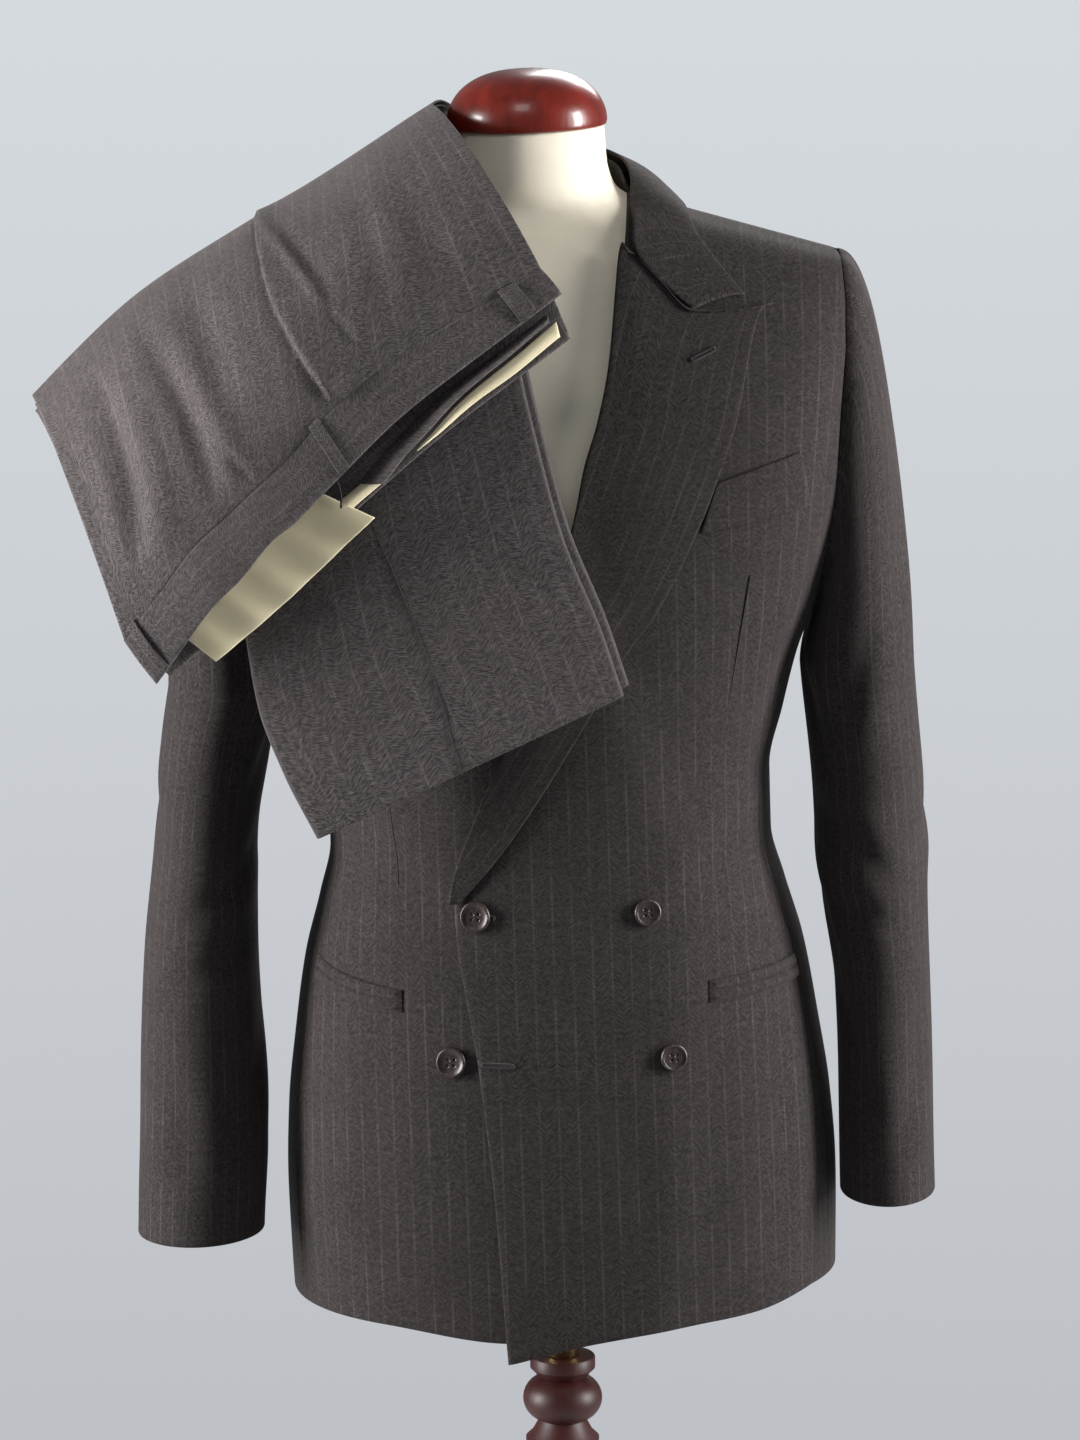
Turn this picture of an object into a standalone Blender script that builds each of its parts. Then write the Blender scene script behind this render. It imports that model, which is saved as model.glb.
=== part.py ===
"""A double-breasted suit on a limbless dress form, with its trousers slung over one shoulder.

Metres, +Z up. The origin is on the floor, under the axis of the form's pole, and the suit faces -Y.
The jacket is cut on sections of the body: a level is the height of a section at the neck, and girth
is the way round it from the centre front, positive to the wearer's left. Cloth pieces keep SEAM
between them, and what lies on a panel is made from the panel's points, moved out along its normal.
"""

import math
from collections import namedtuple
from functools import lru_cache

import bmesh
import bpy
import numpy as np
from mathutils import Matrix, Vector

CLOTH = 0.002
SEAM = 0.0004
LIE = 0.0011
LEAN = math.radians(1.9)
LEAN_PIVOT = Vector((0.002, 0.0, 0.80))

HEM_LEVEL = 0.748
BACK_HEM = 0.752
ARMPIT_LEVEL = 1.190
TOP_LEVEL = 1.458
BACK_NECK_LEVEL = 1.437
NECK_HALF_WIDTH = 0.063
SHOULDER_SLOPE = 0.3065
CENTRE_FRONT = 0.004
LAP = 0.0034
LAP_SHORT = 0.010
LAP_FADE = 0.040
SHARED_LEVEL = 1.165
SHARED_ROWS = 13
SIDE_SHARE = 0.8
PANEL_TOP = 1.45798
SOLVE_STEPS = 40

Section = namedtuple("Section", "level half_width front back squareness")
BODY_SECTIONS = [
    Section(0.700, 0.1755, 0.1310, 0.1290, 2.2),
    Section(0.770, 0.1785, 0.1340, 0.1330, 2.2),
    Section(0.820, 0.1795, 0.1350, 0.1360, 2.2),
    Section(0.870, 0.1770, 0.1340, 0.1350, 2.2),
    Section(0.920, 0.1705, 0.1300, 0.1300, 2.2),
    Section(0.970, 0.1620, 0.1250, 0.1220, 2.2),
    Section(1.010, 0.1510, 0.1200, 0.1140, 2.2),
    Section(1.045, 0.1430, 0.1165, 0.1080, 2.2),
    Section(1.085, 0.1430, 0.1150, 0.1070, 2.2),
    Section(1.125, 0.1525, 0.1170, 0.1110, 2.2),
    Section(1.160, 0.1620, 0.1205, 0.1180, 2.3),
    Section(1.200, 0.1770, 0.1240, 0.1240, 2.5),
    Section(1.270, 0.1960, 0.1245, 0.1280, 2.7),
    Section(1.310, 0.2000, 0.1180, 0.1270, 3.0),
    Section(1.350, 0.2030, 0.1060, 0.1210, 3.4),
    Section(1.390, 0.2050, 0.0880, 0.1080, 4.0),
    Section(1.420, 0.2050, 0.0690, 0.0890, 4.6),
    Section(1.440, 0.2035, 0.0500, 0.0660, 5.2),
    Section(1.452, 0.2015, 0.0300, 0.0400, 5.8),
    Section(TOP_LEVEL, 0.2000, 0.0006, 0.0006, 6.0),
]

Edge = namedtuple("Edge", "level across")
OVER_FRONT_EDGE = [
    Edge(0.720, -0.0350),
    Edge(0.836, -0.0412),
    Edge(0.915, -0.0480),
    Edge(1.020, -0.0600),
    Edge(1.084, -0.0408),
    Edge(1.127, -0.0218),
    Edge(1.207, 0.0050),
    Edge(1.274, 0.0252),
    Edge(1.299, 0.0310),
    Edge(1.353, 0.0495),
    Edge(1.425, 0.0590),
    Edge(TOP_LEVEL, 0.0630),
]
OVER_LAPEL_EDGE = [
    Edge(1.022, -0.0590),
    Edge(1.061, -0.0271),
    Edge(1.110, 0.0058),
    Edge(1.141, 0.0249),
    Edge(1.182, 0.0505),
    Edge(1.204, 0.0680),
    Edge(1.259, 0.0977),
    Edge(1.336, 0.1284),
    Edge(1.392, 0.1484),
]
GORGE = [
    Edge(1.4300, 0.0580),
    Edge(1.4065, 0.0800),
    Edge(1.3893, 0.0985),
    Edge(1.3885, 0.1220),
    Edge(1.3920, 0.1484),
]
OVER_HEM = [
    Edge(0.7270, -0.0354),
    Edge(0.7330, -0.0120),
    Edge(0.7395, 0.0190),
    Edge(0.7450, 0.0700),
    Edge(0.7475, 0.1230),
    Edge(0.7540, 0.1600),
]
UNDER_HEM = [
    Edge(0.7500, -0.0600),
    Edge(0.7400, 0.0350),
    Edge(0.7480, 0.1150),
    Edge(0.7490, 0.1600),
]

Armhole = namedtuple("Armhole", "level rise front back roundness")
ARMHOLE = Armhole(1.324, 0.134, 0.062, 0.075, 2.3)
ARMHOLE_SHARE = 0.72
SIDE_SEAM_FRONT = -0.045
SIDE_SEAM_BACK = 0.050

Ring = namedtuple("Ring", "height outer inner depth half_depth")
LEFT_SLEEVE = [
    Ring(1.150, 0.2378, 0.1645, 0.000, 0.0600),
    Ring(1.070, 0.2420, 0.1705, -0.001, 0.0560),
    Ring(1.026, 0.2435, 0.1715, -0.004, 0.0540),
    Ring(0.941, 0.2435, 0.1815, -0.014, 0.0520),
    Ring(0.868, 0.2430, 0.1812, -0.022, 0.0500),
    Ring(0.807, 0.2427, 0.1810, -0.028, 0.0490),
]
RIGHT_SLEEVE = [
    Ring(1.150, 0.2430, 0.1648, 0.000, 0.0600),
    Ring(1.111, 0.2500, 0.1790, 0.000, 0.0580),
    Ring(1.037, 0.2590, 0.1905, -0.003, 0.0540),
    Ring(0.980, 0.2660, 0.1920, -0.009, 0.0520),
    Ring(0.914, 0.2705, 0.1908, -0.016, 0.0500),
    Ring(0.847, 0.2745, 0.1915, -0.022, 0.0480),
    Ring(0.794, 0.2775, 0.1950, -0.028, 0.0470),
]

LAPEL_ROLL = 0.0018
COLLAR_ROLL = 0.0016
COLLAR_MIDDLE = 0.0008
COLLAR_BACK_LIFT = 0.001
COLLAR_BACK_CROWN = 0.006
STAND_INSET = 0.0030
STAND_BELOW_ROLL = 0.0052
CollarFront = namedtuple("CollarFront", "roll_across roll_height edge_across edge_height")
COLLAR_FRONT = [
    CollarFront(0.0995, 1.3910, 0.1311, 1.3985),
    CollarFront(0.0800, 1.4080, 0.1200, 1.4120),
    CollarFront(0.0660, 1.4250, 0.1090, 1.4260),
    CollarFront(0.0645, 1.4415, 0.1030, 1.4345),
]
CollarBack = namedtuple("CollarBack", "roll_across roll_depth roll_height edge_across edge_depth")
COLLAR_BACK = [
    CollarBack(0.0640, -0.026, 1.4560, 0.0990, -0.020),
    CollarBack(0.0650, 0.000, 1.4690, 0.0950, 0.014),
    CollarBack(0.0590, 0.030, 1.4780, 0.0870, 0.048),
    CollarBack(0.0400, 0.054, 1.4830, 0.0600, 0.084),
    CollarBack(0.0000, 0.066, 1.4850, 0.0000, 0.098),
]

BREAST_WELT = {"lower": ((0.1005, 1.2568), (0.1684, 1.2669)), "upper": ((0.1110, 1.2860), (0.1636, 1.3005))}
HipPocket = namedtuple("HipPocket", "inner_across outer_depth height rise_left rise_right")
HIP_POCKET = HipPocket(0.0970, -0.0460, 0.9602, 0.0015, 0.0120)
Lip = namedtuple("Lip", "offset proud")
HIP_POCKET_LIPS = [
    Lip(-0.0070, 0.0008),
    Lip(-0.0036, 0.0020),
    Lip(0.0, 0.0007),
    Lip(0.0036, 0.0020),
    Lip(0.0070, 0.0008),
]
WELT_PROUD = 0.0018
Button = namedtuple("Button", "name across height radius")
BUTTONS = [
    Button("button_upper_right", -0.0475, 1.0160, 0.0098),
    Button("button_upper_left", 0.0585, 1.0146, 0.0088),
    Button("button_lower_right", -0.0665, 0.9235, 0.0098),
    Button("button_lower_left", 0.0722, 0.9222, 0.0088),
]

Station = namedtuple(
    "Station",
    "at seam_across seam_depth seam_height edge_across edge_depth edge_height"
    " ridge_across ridge_depth ridge_height fold_across fold_depth fold_height"
    " hollow bundle",
)
TROUSER_STATIONS = [
    Station(0.00, -0.258, -0.155, 1.207, -0.240, -0.157, 1.181, -0.319, -0.030, 1.345,
            -0.235, 0.105, 1.190, 0.0005, 0.010),
    Station(0.25, -0.213, -0.172, 1.265, -0.195, -0.176, 1.239, -0.252, -0.025, 1.405,
            -0.165, 0.140, 1.235, 0.0130, 0.022),
    Station(0.50, -0.163, -0.178, 1.310, -0.147, -0.182, 1.284, -0.185, -0.018, 1.444,
            -0.090, 0.158, 1.275, 0.0170, 0.0126),
    Station(0.75, -0.101, -0.172, 1.368, -0.085, -0.176, 1.342, -0.118, -0.016, 1.484,
            -0.015, 0.160, 1.315, 0.0130, 0.034),
    Station(1.00, 0.006, -0.1545, 1.428, 0.0174, -0.1575, 1.4137, -0.060, -0.016, 1.519,
            0.060, 0.154, 1.350, 0.0005, 0.022),
]
FarEdge = namedtuple("FarEdge", "at across depth height")
FAR_WAIST_EDGE = [
    FarEdge(0.00, -0.232, -0.1485, 1.184),
    FarEdge(0.25, -0.172, -0.1545, 1.232),
    FarEdge(0.50, -0.112, -0.1560, 1.285),
    FarEdge(0.75, -0.055, -0.1540, 1.331),
    FarEdge(1.00, 0.022, -0.1485, 1.385),
]
CURTAIN = {"start": 0.085, "end": 0.50, "below_edge": 0.012, "height": 0.050, "front": 0.0023, "back": 0.0011}
NEAR_BAND = 0.0026
FAR_BAND = 0.0024
FAR_BAND_GAP = 0.0014
Layer = namedtuple("Layer", "share proud")
EDGE_LAYERS = [
    Layer(0.10, 0.0012),
    Layer(0.26, -0.0006),
    Layer(0.42, 0.0014),
    Layer(0.58, -0.0006),
    Layer(0.74, 0.0012),
    Layer(0.90, -0.0004),
]
Leg = namedtuple("Leg", "at left right left_height right_height")
NEAR_LEG = [
    Leg(0.00, -0.1453, 0.0489, 1.0751, 1.1603),
    Leg(0.17, -0.1640, 0.0360, 1.1150, 1.2030),
    Leg(0.38, -0.1790, 0.0150, 1.1600, 1.2600),
    Leg(0.58, -0.1850, 0.0030, 1.2080, 1.3100),
    Leg(0.80, -0.1900, -0.0080, 1.2650, 1.3650),
    Leg(1.00, -0.1930, -0.0150, 1.3050, 1.4150),
]
LEG_DEPTH = -0.1472
LEG_THICKNESS = 0.0042
LEG_TURN_BACK = 0.0012
LEG_WALL = 0.0015
LEG_SLIT_ROWS = 3
LEG_SLIT_INSET = 0.12
FAR_LEG_SHIFT = (0.0035, 0.0060)
FRONT_LAYERS = 0.006
FOLD_LAYERS = 0.014

ROD_RADIUS = 0.011
NECK_RADIUS = 0.048
CAP_RADIUS = 0.051
CAP_BASE = 1.5015
CAP_LIP = 0.003
CAP_DOME = 0.0335
FORM_BOTTOM = 0.800
FORM_TOP = 1.446
FORM_EASE = 0.0044
FORM_SKIRT_EASE = 0.012
COLUMN_TOP = 0.6900

COLOURS = {
    "suiting": ((0.058, 0.050, 0.050, 1.0), 0.85, 0.0),
    "trouser_cloth": ((0.085, 0.076, 0.080, 1.0), 0.85, 0.0),
    "curtain": ((0.62, 0.57, 0.44, 1.0), 0.80, 0.0),
    "horn": ((0.022, 0.012, 0.011, 1.0), 0.35, 0.0),
    "form_cloth": ((0.62, 0.55, 0.44, 1.0), 0.75, 0.0),
    "cap_wood": ((0.24, 0.045, 0.018, 1.0), 0.18, 0.0),
    "stand_wood": ((0.055, 0.010, 0.008, 1.0), 0.25, 0.0),
    "brass": ((0.55, 0.42, 0.22, 1.0), 0.30, 1.0),
}


def ease(amount):
    """0 to 1 with a soft start and end."""
    amount = min(1.0, max(0.0, amount))
    return amount * amount * (3 - 2 * amount)


def mix(first, second, amount):
    return first + (second - first) * amount


class Course:
    """The named columns of a table, eased between its rows without overshoot."""

    def __init__(self, rows, key):
        self.at = np.array([getattr(row, key) for row in rows], float)
        self.values = {name: np.array([getattr(row, name) for row in rows], float) for name in rows[0]._fields}
        self.slopes = {name: self.slopes_of(values) for name, values in self.values.items()}

    def slopes_of(self, values):
        steps = np.diff(self.at)
        rises = np.diff(values) / steps
        slopes = np.empty(len(values))
        slopes[0], slopes[-1] = rises[0], rises[-1]
        for i in range(1, len(values) - 1):
            before, after = rises[i - 1], rises[i]
            weight = steps[i - 1] + 2 * steps[i], 2 * steps[i - 1] + steps[i]
            turning = before * after <= 0
            slopes[i] = 0 if turning else sum(weight) / (weight[1] / after + weight[0] / before)
        return slopes

    def read(self, name, at):
        i = int(np.clip(np.searchsorted(self.at, at) - 1, 0, len(self.at) - 2))
        step = self.at[i + 1] - self.at[i]
        t = min(1.0, max(0.0, (at - self.at[i]) / step))
        low, high = self.values[name][i : i + 2]
        rise, fall = self.slopes[name][i : i + 2] * step
        return float(
            low * (1 + 2 * t) * (1 - t) ** 2
            + rise * t * (1 - t) ** 2
            + high * t * t * (3 - 2 * t)
            + fall * t * t * (t - 1)
        )


BODY = Course(BODY_SECTIONS, "level")
OVER_EDGE = Course(OVER_FRONT_EDGE, "level")
LAPEL_EDGE = Course(OVER_LAPEL_EDGE, "level")
GORGE_LINE = Course(GORGE, "across")
OVER_HEM_LINE = Course(OVER_HEM, "across")
UNDER_HEM_LINE = Course(UNDER_HEM, "across")
STATIONS = Course(TROUSER_STATIONS, "at")
FAR_EDGE = Course(FAR_WAIST_EDGE, "at")
LEGS = Course(NEAR_LEG, "at")
SLEEVES = {1: Course(LEFT_SLEEVE[::-1], "height"), -1: Course(RIGHT_SLEEVE[::-1], "height")}


def shoulder_drop(level, across):
    """How far a section droops from the neck out to the shoulder's tip."""
    rise = max(0.0, (level - ARMPIT_LEVEL) / (TOP_LEVEL - ARMPIT_LEVEL))
    return SHOULDER_SLOPE * max(0.0, abs(across) - NECK_HALF_WIDTH) * rise**1.5


@lru_cache(maxsize=None)
def half_ring(level):
    """One section's wearer's left half, from centre front to centre back: across, depth and girth."""
    turn = np.linspace(0, math.pi, 721)
    power = 2 / BODY.read("squareness", level)
    across = BODY.read("half_width", level) * np.clip(np.sin(turn), 0, 1) ** power
    reach = np.where(turn < math.pi / 2, -BODY.read("front", level), BODY.read("back", level))
    depth = reach * np.abs(np.cos(turn)) ** power
    girth = np.concatenate([[0], np.cumsum(np.hypot(np.diff(across), np.diff(depth)))])
    return across, depth, girth


def body_point(level, girth):
    across, depth, lengths = half_ring(round(min(level, TOP_LEVEL), 7))
    along = abs(girth)
    width = float(np.interp(along, lengths, across))
    height = level - shoulder_drop(level, width)
    return Vector((math.copysign(width, girth), float(np.interp(along, lengths, depth)), height))


def on_body(level, girth, out=0.0):
    """A point of the jacket's surface, moved out along its normal."""
    step = 0.0008
    low, high = level - step, min(level + step, TOP_LEVEL)
    along = body_point(level, girth + step) - body_point(level, girth - step)
    up = body_point(high, girth) - body_point(low, girth)
    return body_point(level, girth) + out * along.cross(up).normalized()


def girth_across(level, across):
    """Girth of the point of the front that lies this far across."""
    widths, _, lengths = half_ring(round(level, 7))
    half = len(widths) // 2
    return math.copysign(float(np.interp(abs(across), widths[: half + 1], lengths[: half + 1])), across)


def back_girth_across(level, across):
    widths, _, lengths = half_ring(round(level, 7))
    half = len(widths) // 2
    return float(np.interp(-abs(across), -widths[half:], lengths[half:]))


def girth_deep(level, depth):
    """Girth of the point of the wearer's left side at this depth."""
    _, depths, lengths = half_ring(round(level, 7))
    return float(np.interp(depth, depths, lengths))


def front_level(across, height):
    level = height
    for _ in range(SOLVE_STEPS):
        level = min(TOP_LEVEL, height + shoulder_drop(level, across))
    return level


def front_at(across, height, out=0.0):
    """The point of the jacket's front at this place of the front view, moved out."""
    level = front_level(across, height)
    return on_body(level, girth_across(level, across), out)


def over_at(across, depth, out=0.0):
    """The point of the shoulders' upper side at this place of the plan, moved out."""
    low, high = 1.28, TOP_LEVEL
    for _ in range(SOLVE_STEPS):
        middle = (low + high) / 2
        widths, depths, lengths = half_ring(round(middle, 7))
        girth = girth_across(middle, across) if depth < 0 else back_girth_across(middle, across)
        reach = abs(float(np.interp(abs(girth), lengths, depths)))
        low, high = (middle, high) if reach > abs(depth) else (low, middle)
    return on_body(low, math.copysign(abs(girth), across), out)


def armhole_depth(level):
    """Depths of the armhole's front and back edge at a level. Both are 0 under and over it."""
    rise = abs(level - ARMHOLE.level) / ARMHOLE.rise
    if rise >= 1:
        return 0.0, 0.0
    reach = (1 - rise**ARMHOLE.roundness) ** (1 / ARMHOLE.roundness)
    front = min(ARMHOLE.front * reach, ARMHOLE_SHARE * BODY.read("front", level))
    back = min(ARMHOLE.back * reach, ARMHOLE_SHARE * BODY.read("back", level))
    return -front, back


def armhole_bottom(depth):
    """Level of the armhole's lower curve at a depth."""
    reach = ARMHOLE.front if depth < 0 else ARMHOLE.back
    share = (1 - abs(depth / reach) ** ARMHOLE.roundness) ** (1 / ARMHOLE.roundness)
    return ARMHOLE.level - ARMHOLE.rise * share


def front_side_girth(level):
    depth = armhole_depth(level)[0]
    if level < ARMHOLE.level:
        depth = min(SIDE_SEAM_FRONT, depth)
    return girth_deep(level, max(depth - SEAM / 2, -SIDE_SHARE * BODY.read("front", level)))


def back_side_girth(level):
    depth = armhole_depth(level)[1]
    if level < ARMHOLE.level:
        depth = max(SIDE_SEAM_BACK, depth)
    return girth_deep(level, min(depth + SEAM / 2, SIDE_SHARE * BODY.read("back", level)))


def over_edge(level):
    return OVER_EDGE.read("across", level)


def under_edge(level):
    """The over front's edge mirrored in the centre front, which is the body's own centre at the neck."""
    return 2 * CENTRE_FRONT * (1 - ease((level - 1.30) / 0.12)) - over_edge(level)


def lap_out(level, across):
    """How far the over front stands off where it laps over the under front."""
    return LAP * (1 - ease((across - under_edge(level) - LAP_SHORT) / LAP_FADE))


def levels_between(low, high, count):
    """Levels that part the front's profile into equal lengths."""
    fine = np.linspace(low, high, 400)
    profile = np.array([BODY.read("front", level) for level in fine])
    length = np.concatenate([[0], np.cumsum(np.hypot(np.diff(fine), np.diff(profile)))])
    return [float(level) for level in np.interp(np.linspace(0, length[-1], count), length, fine)]


def seam_levels(side_seam, top, upper_rows):
    """Row levels of a panel, the same as its neighbour's as far up as they share a seam."""
    seam_top = armhole_bottom(side_seam)
    shared = levels_between(HEM_LEVEL, SHARED_LEVEL, SHARED_ROWS) + [mix(SHARED_LEVEL, seam_top, 0.5)]
    return shared + levels_between(seam_top, top, upper_rows)


def hem_level(level, hem):
    """A row's level, with the rows near the hem drawn to the hem's line."""
    return level + (hem - HEM_LEVEL) * (1 - ease((level - HEM_LEVEL) / 0.10))


def principled(name):
    found = bpy.data.materials.get(name)
    if found:
        return found
    colour, roughness, metallic = COLOURS[name]
    material = bpy.data.materials.new(name)
    material.use_nodes = True
    shader = material.node_tree.nodes["Principled BSDF"]
    shader.inputs["Base Color"].default_value = colour
    shader.inputs["Roughness"].default_value = roughness
    shader.inputs["Metallic"].default_value = metallic
    material.diffuse_color = colour
    return material


def finish(name, builder, material, leaned=True):
    """Turn a bmesh into the named object, with its faces pointing out."""
    bmesh.ops.recalc_face_normals(builder, faces=builder.faces)
    if builder.calc_volume(signed=True) < 0:
        bmesh.ops.reverse_faces(builder, faces=builder.faces)
    mesh = bpy.data.meshes.new(name)
    builder.to_mesh(mesh)
    builder.free()
    mesh.shade_smooth()
    mesh.set_sharp_from_angle(angle=math.radians(50))
    piece = bpy.data.objects.new(name, mesh)
    piece.data.materials.append(principled(material))
    bpy.context.scene.collection.objects.link(piece)
    if leaned:
        piece.parent = bpy.data.objects["lean"]
        piece.matrix_parent_inverse = Matrix.Translation(-LEAN_PIVOT)
    return piece


def shell(name, outer, inner, material, wrap=False, rim=()):
    """A wall between two grids of points. rim adds rows of points between them along the side edges."""
    builder = bmesh.new()
    outside = [[builder.verts.new(point) for point in row] for row in outer]
    inside = [[builder.verts.new(point) for point in row] for row in inner]
    rows, columns = len(outer), len(outer[0])
    spans = columns if wrap else columns - 1
    for i in range(rows - 1):
        for j in range(spans):
            k = (j + 1) % columns
            builder.faces.new((outside[i][j], outside[i][k], outside[i + 1][k], outside[i + 1][j]))
            builder.faces.new((inside[i][j], inside[i + 1][j], inside[i + 1][k], inside[i][k]))
    for i in (0, rows - 1):
        for j in range(spans):
            k = (j + 1) % columns
            builder.faces.new((outside[i][j], inside[i][j], inside[i][k], outside[i][k]))
    if not wrap:
        for j, beside in ((0, 1), (columns - 1, columns - 2)):
            strips = [[row[j] for row in outside]]
            for share, proud in rim:
                strip = []
                for i in range(rows):
                    away = (outer[i][j] - outer[i][beside]).normalized()
                    strip.append(builder.verts.new(outer[i][j].lerp(inner[i][j], share) + away * proud))
                strips.append(strip)
            strips.append([row[j] for row in inside])
            for first, second in zip(strips, strips[1:]):
                for i in range(rows - 1):
                    builder.faces.new((first[i], first[i + 1], second[i + 1], second[i]))
            if rim:
                for i in (0, rows - 1):
                    builder.faces.new([strip[i] for strip in strips])
    return finish(name, builder, material)


def normals_of(grid, wrap=False):
    """The normal at each point of a grid, from its neighbours."""
    rows, columns = len(grid), len(grid[0])
    found = []
    for i in range(rows):
        line = []
        for j in range(columns):
            before, after = max(j - 1, 0), min(j + 1, columns - 1)
            if wrap:
                before, after = (j - 1) % columns, (j + 1) % columns
            across = grid[i][after] - grid[i][before]
            along = grid[min(i + 1, rows - 1)][j] - grid[max(i - 1, 0)][j]
            line.append(across.cross(along).normalized())
        found.append(line)
    return found


def moved(grid, normals, distance):
    """A grid moved along its normals, by a distance that may depend on the row and column."""
    read = distance if callable(distance) else lambda i, j: distance
    return [
        [point + normal * read(i, j) for j, (point, normal) in enumerate(zip(row, line))]
        for i, (row, line) in enumerate(zip(grid, normals))
    ]


def panel(name, places, out=lambda level, across: 0.0):
    """A wall of suiting through (level, girth) places of the body."""
    outer, inner = [], []
    for row in places:
        outs = [out(level, body_point(level, girth).x) for level, girth in row]
        outer.append([on_body(level, girth, off) for (level, girth), off in zip(row, outs)])
        inner.append([on_body(level, girth, off - CLOTH) for (level, girth), off in zip(row, outs)])
    return shell(name, outer, inner, "suiting")


def front_places(side, columns):
    """Places of a front. side is 1 for the wearer's left, which laps over."""
    edge = over_edge if side > 0 else under_edge
    hem = OVER_HEM_LINE if side > 0 else UNDER_HEM_LINE
    places = []
    for level in seam_levels(SIDE_SEAM_FRONT, PANEL_TOP, 13):
        end = side * front_side_girth(level)
        start = girth_across(level, edge(level))
        row = []
        for j in range(columns):
            girth = mix(start, end, (j / (columns - 1)) ** 0.92)
            across = body_point(level, girth).x
            drawn = hem_level(level, hem.read("level", side * across))
            row.append((drawn, girth))
        places.append(row)
    return places


def make_fronts():
    panel("jacket_front_left", front_places(1, 15), lap_out)
    panel("jacket_front_right", front_places(-1, 14))


def make_side(side):
    """The underarm panel, whose upper edge is the armhole's lower curve."""
    columns = 5
    shared = levels_between(HEM_LEVEL, SHARED_LEVEL, SHARED_ROWS)
    hem = (OVER_HEM_LINE if side > 0 else UNDER_HEM_LINE).read("level", 0.160)
    lines = []
    for j in range(columns):
        depth = mix(SIDE_SEAM_FRONT + SEAM / 2, SIDE_SEAM_BACK - SEAM / 2, j / (columns - 1))
        top = armhole_bottom(depth)
        line = []
        for level in shared + [mix(SHARED_LEVEL, top, 0.5), top]:
            girth = girth_deep(level, depth)
            line.append((hem_level(level, mix(hem, BACK_HEM, ease(j / (columns - 1)))), side * girth))
        lines.append(line)
    places = list(zip(*lines))
    panel("jacket_side_left" if side > 0 else "jacket_side_right", places)


def back_end_girth(level):
    """The centre back seam, and over it the neck's curve."""
    if level <= BACK_NECK_LEVEL:
        return float(half_ring(round(level, 7))[2][-1])
    across = NECK_HALF_WIDTH * math.sqrt((level - BACK_NECK_LEVEL) / (TOP_LEVEL - BACK_NECK_LEVEL))
    return back_girth_across(level, across)


def make_back(side):
    columns = 10
    places = []
    lower = seam_levels(SIDE_SEAM_BACK, BACK_NECK_LEVEL, 9)
    upper = levels_between(BACK_NECK_LEVEL, PANEL_TOP, 5)
    for level in lower + upper[1:]:
        start, end = back_side_girth(level), back_end_girth(level) - SEAM / 2
        drawn = hem_level(level, BACK_HEM)
        places.append([(drawn, side * mix(start, end, j / (columns - 1))) for j in range(columns)])
    panel("jacket_back_left" if side > 0 else "jacket_back_right", places)


def make_sleeve(side):
    """A tube from the armhole's loop, over the sleeve head, down to the open cuff."""
    course = SLEEVES[side]
    around, head_rows = 18, 7
    top, bottom = course.at[-1], course.at[0]
    turns = [2 * math.pi * k / around for k in range(around)]

    def arm_ring(height):
        outer, inner = course.read("outer", height), course.read("inner", height)
        centre, half = (outer + inner) / 2, (outer - inner) / 2
        depth, half_depth = course.read("depth", height), course.read("half_depth", height)
        return [
            Vector((side * (centre + half * math.sin(turn)), depth - half_depth * math.cos(turn), height))
            for turn in turns
        ]

    def armhole_point(turn):
        rise = math.copysign(abs(math.sin(turn)) ** 0.87, math.sin(turn))
        level = ARMHOLE.level + ARMHOLE.rise * rise * 0.9995
        front, back = armhole_depth(level)
        reach = front if math.cos(turn) > 0 else back
        point = on_body(level, side * girth_deep(level, reach))
        return point + Vector((side * 2 * SEAM, 0, 0))

    loop = [armhole_point(turn) for turn in turns]
    biceps = arm_ring(top)
    rows = []
    for i in range(head_rows):
        t = (i / head_rows) ** 1.4
        row = []
        for turn, start, end in zip(turns, loop, biceps):
            high = (1 + math.sin(turn)) / 2
            leave = Vector((side * mix(0.012, 0.076, high), -0.014 * math.cos(turn), 0.004 * high - 0.006))
            arrive = Vector((side * 0.008 * high, 0, -1.25 * abs(start.z - end.z) - 0.01))
            row.append(
                start * ((1 + 2 * t) * (1 - t) ** 2)
                + leave * (t * (1 - t) ** 2)
                + end * (t * t * (3 - 2 * t))
                + arrive * (t * t * (t - 1))
            )
        rows.append(row)
    for height in np.linspace(top, bottom, 9):
        rows.append(arm_ring(float(height)))
    normals = normals_of(rows, wrap=True)
    inner = moved(rows, normals, side * CLOTH)
    shell("sleeve_left" if side > 0 else "sleeve_right", rows, inner, "suiting", wrap=True)


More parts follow.
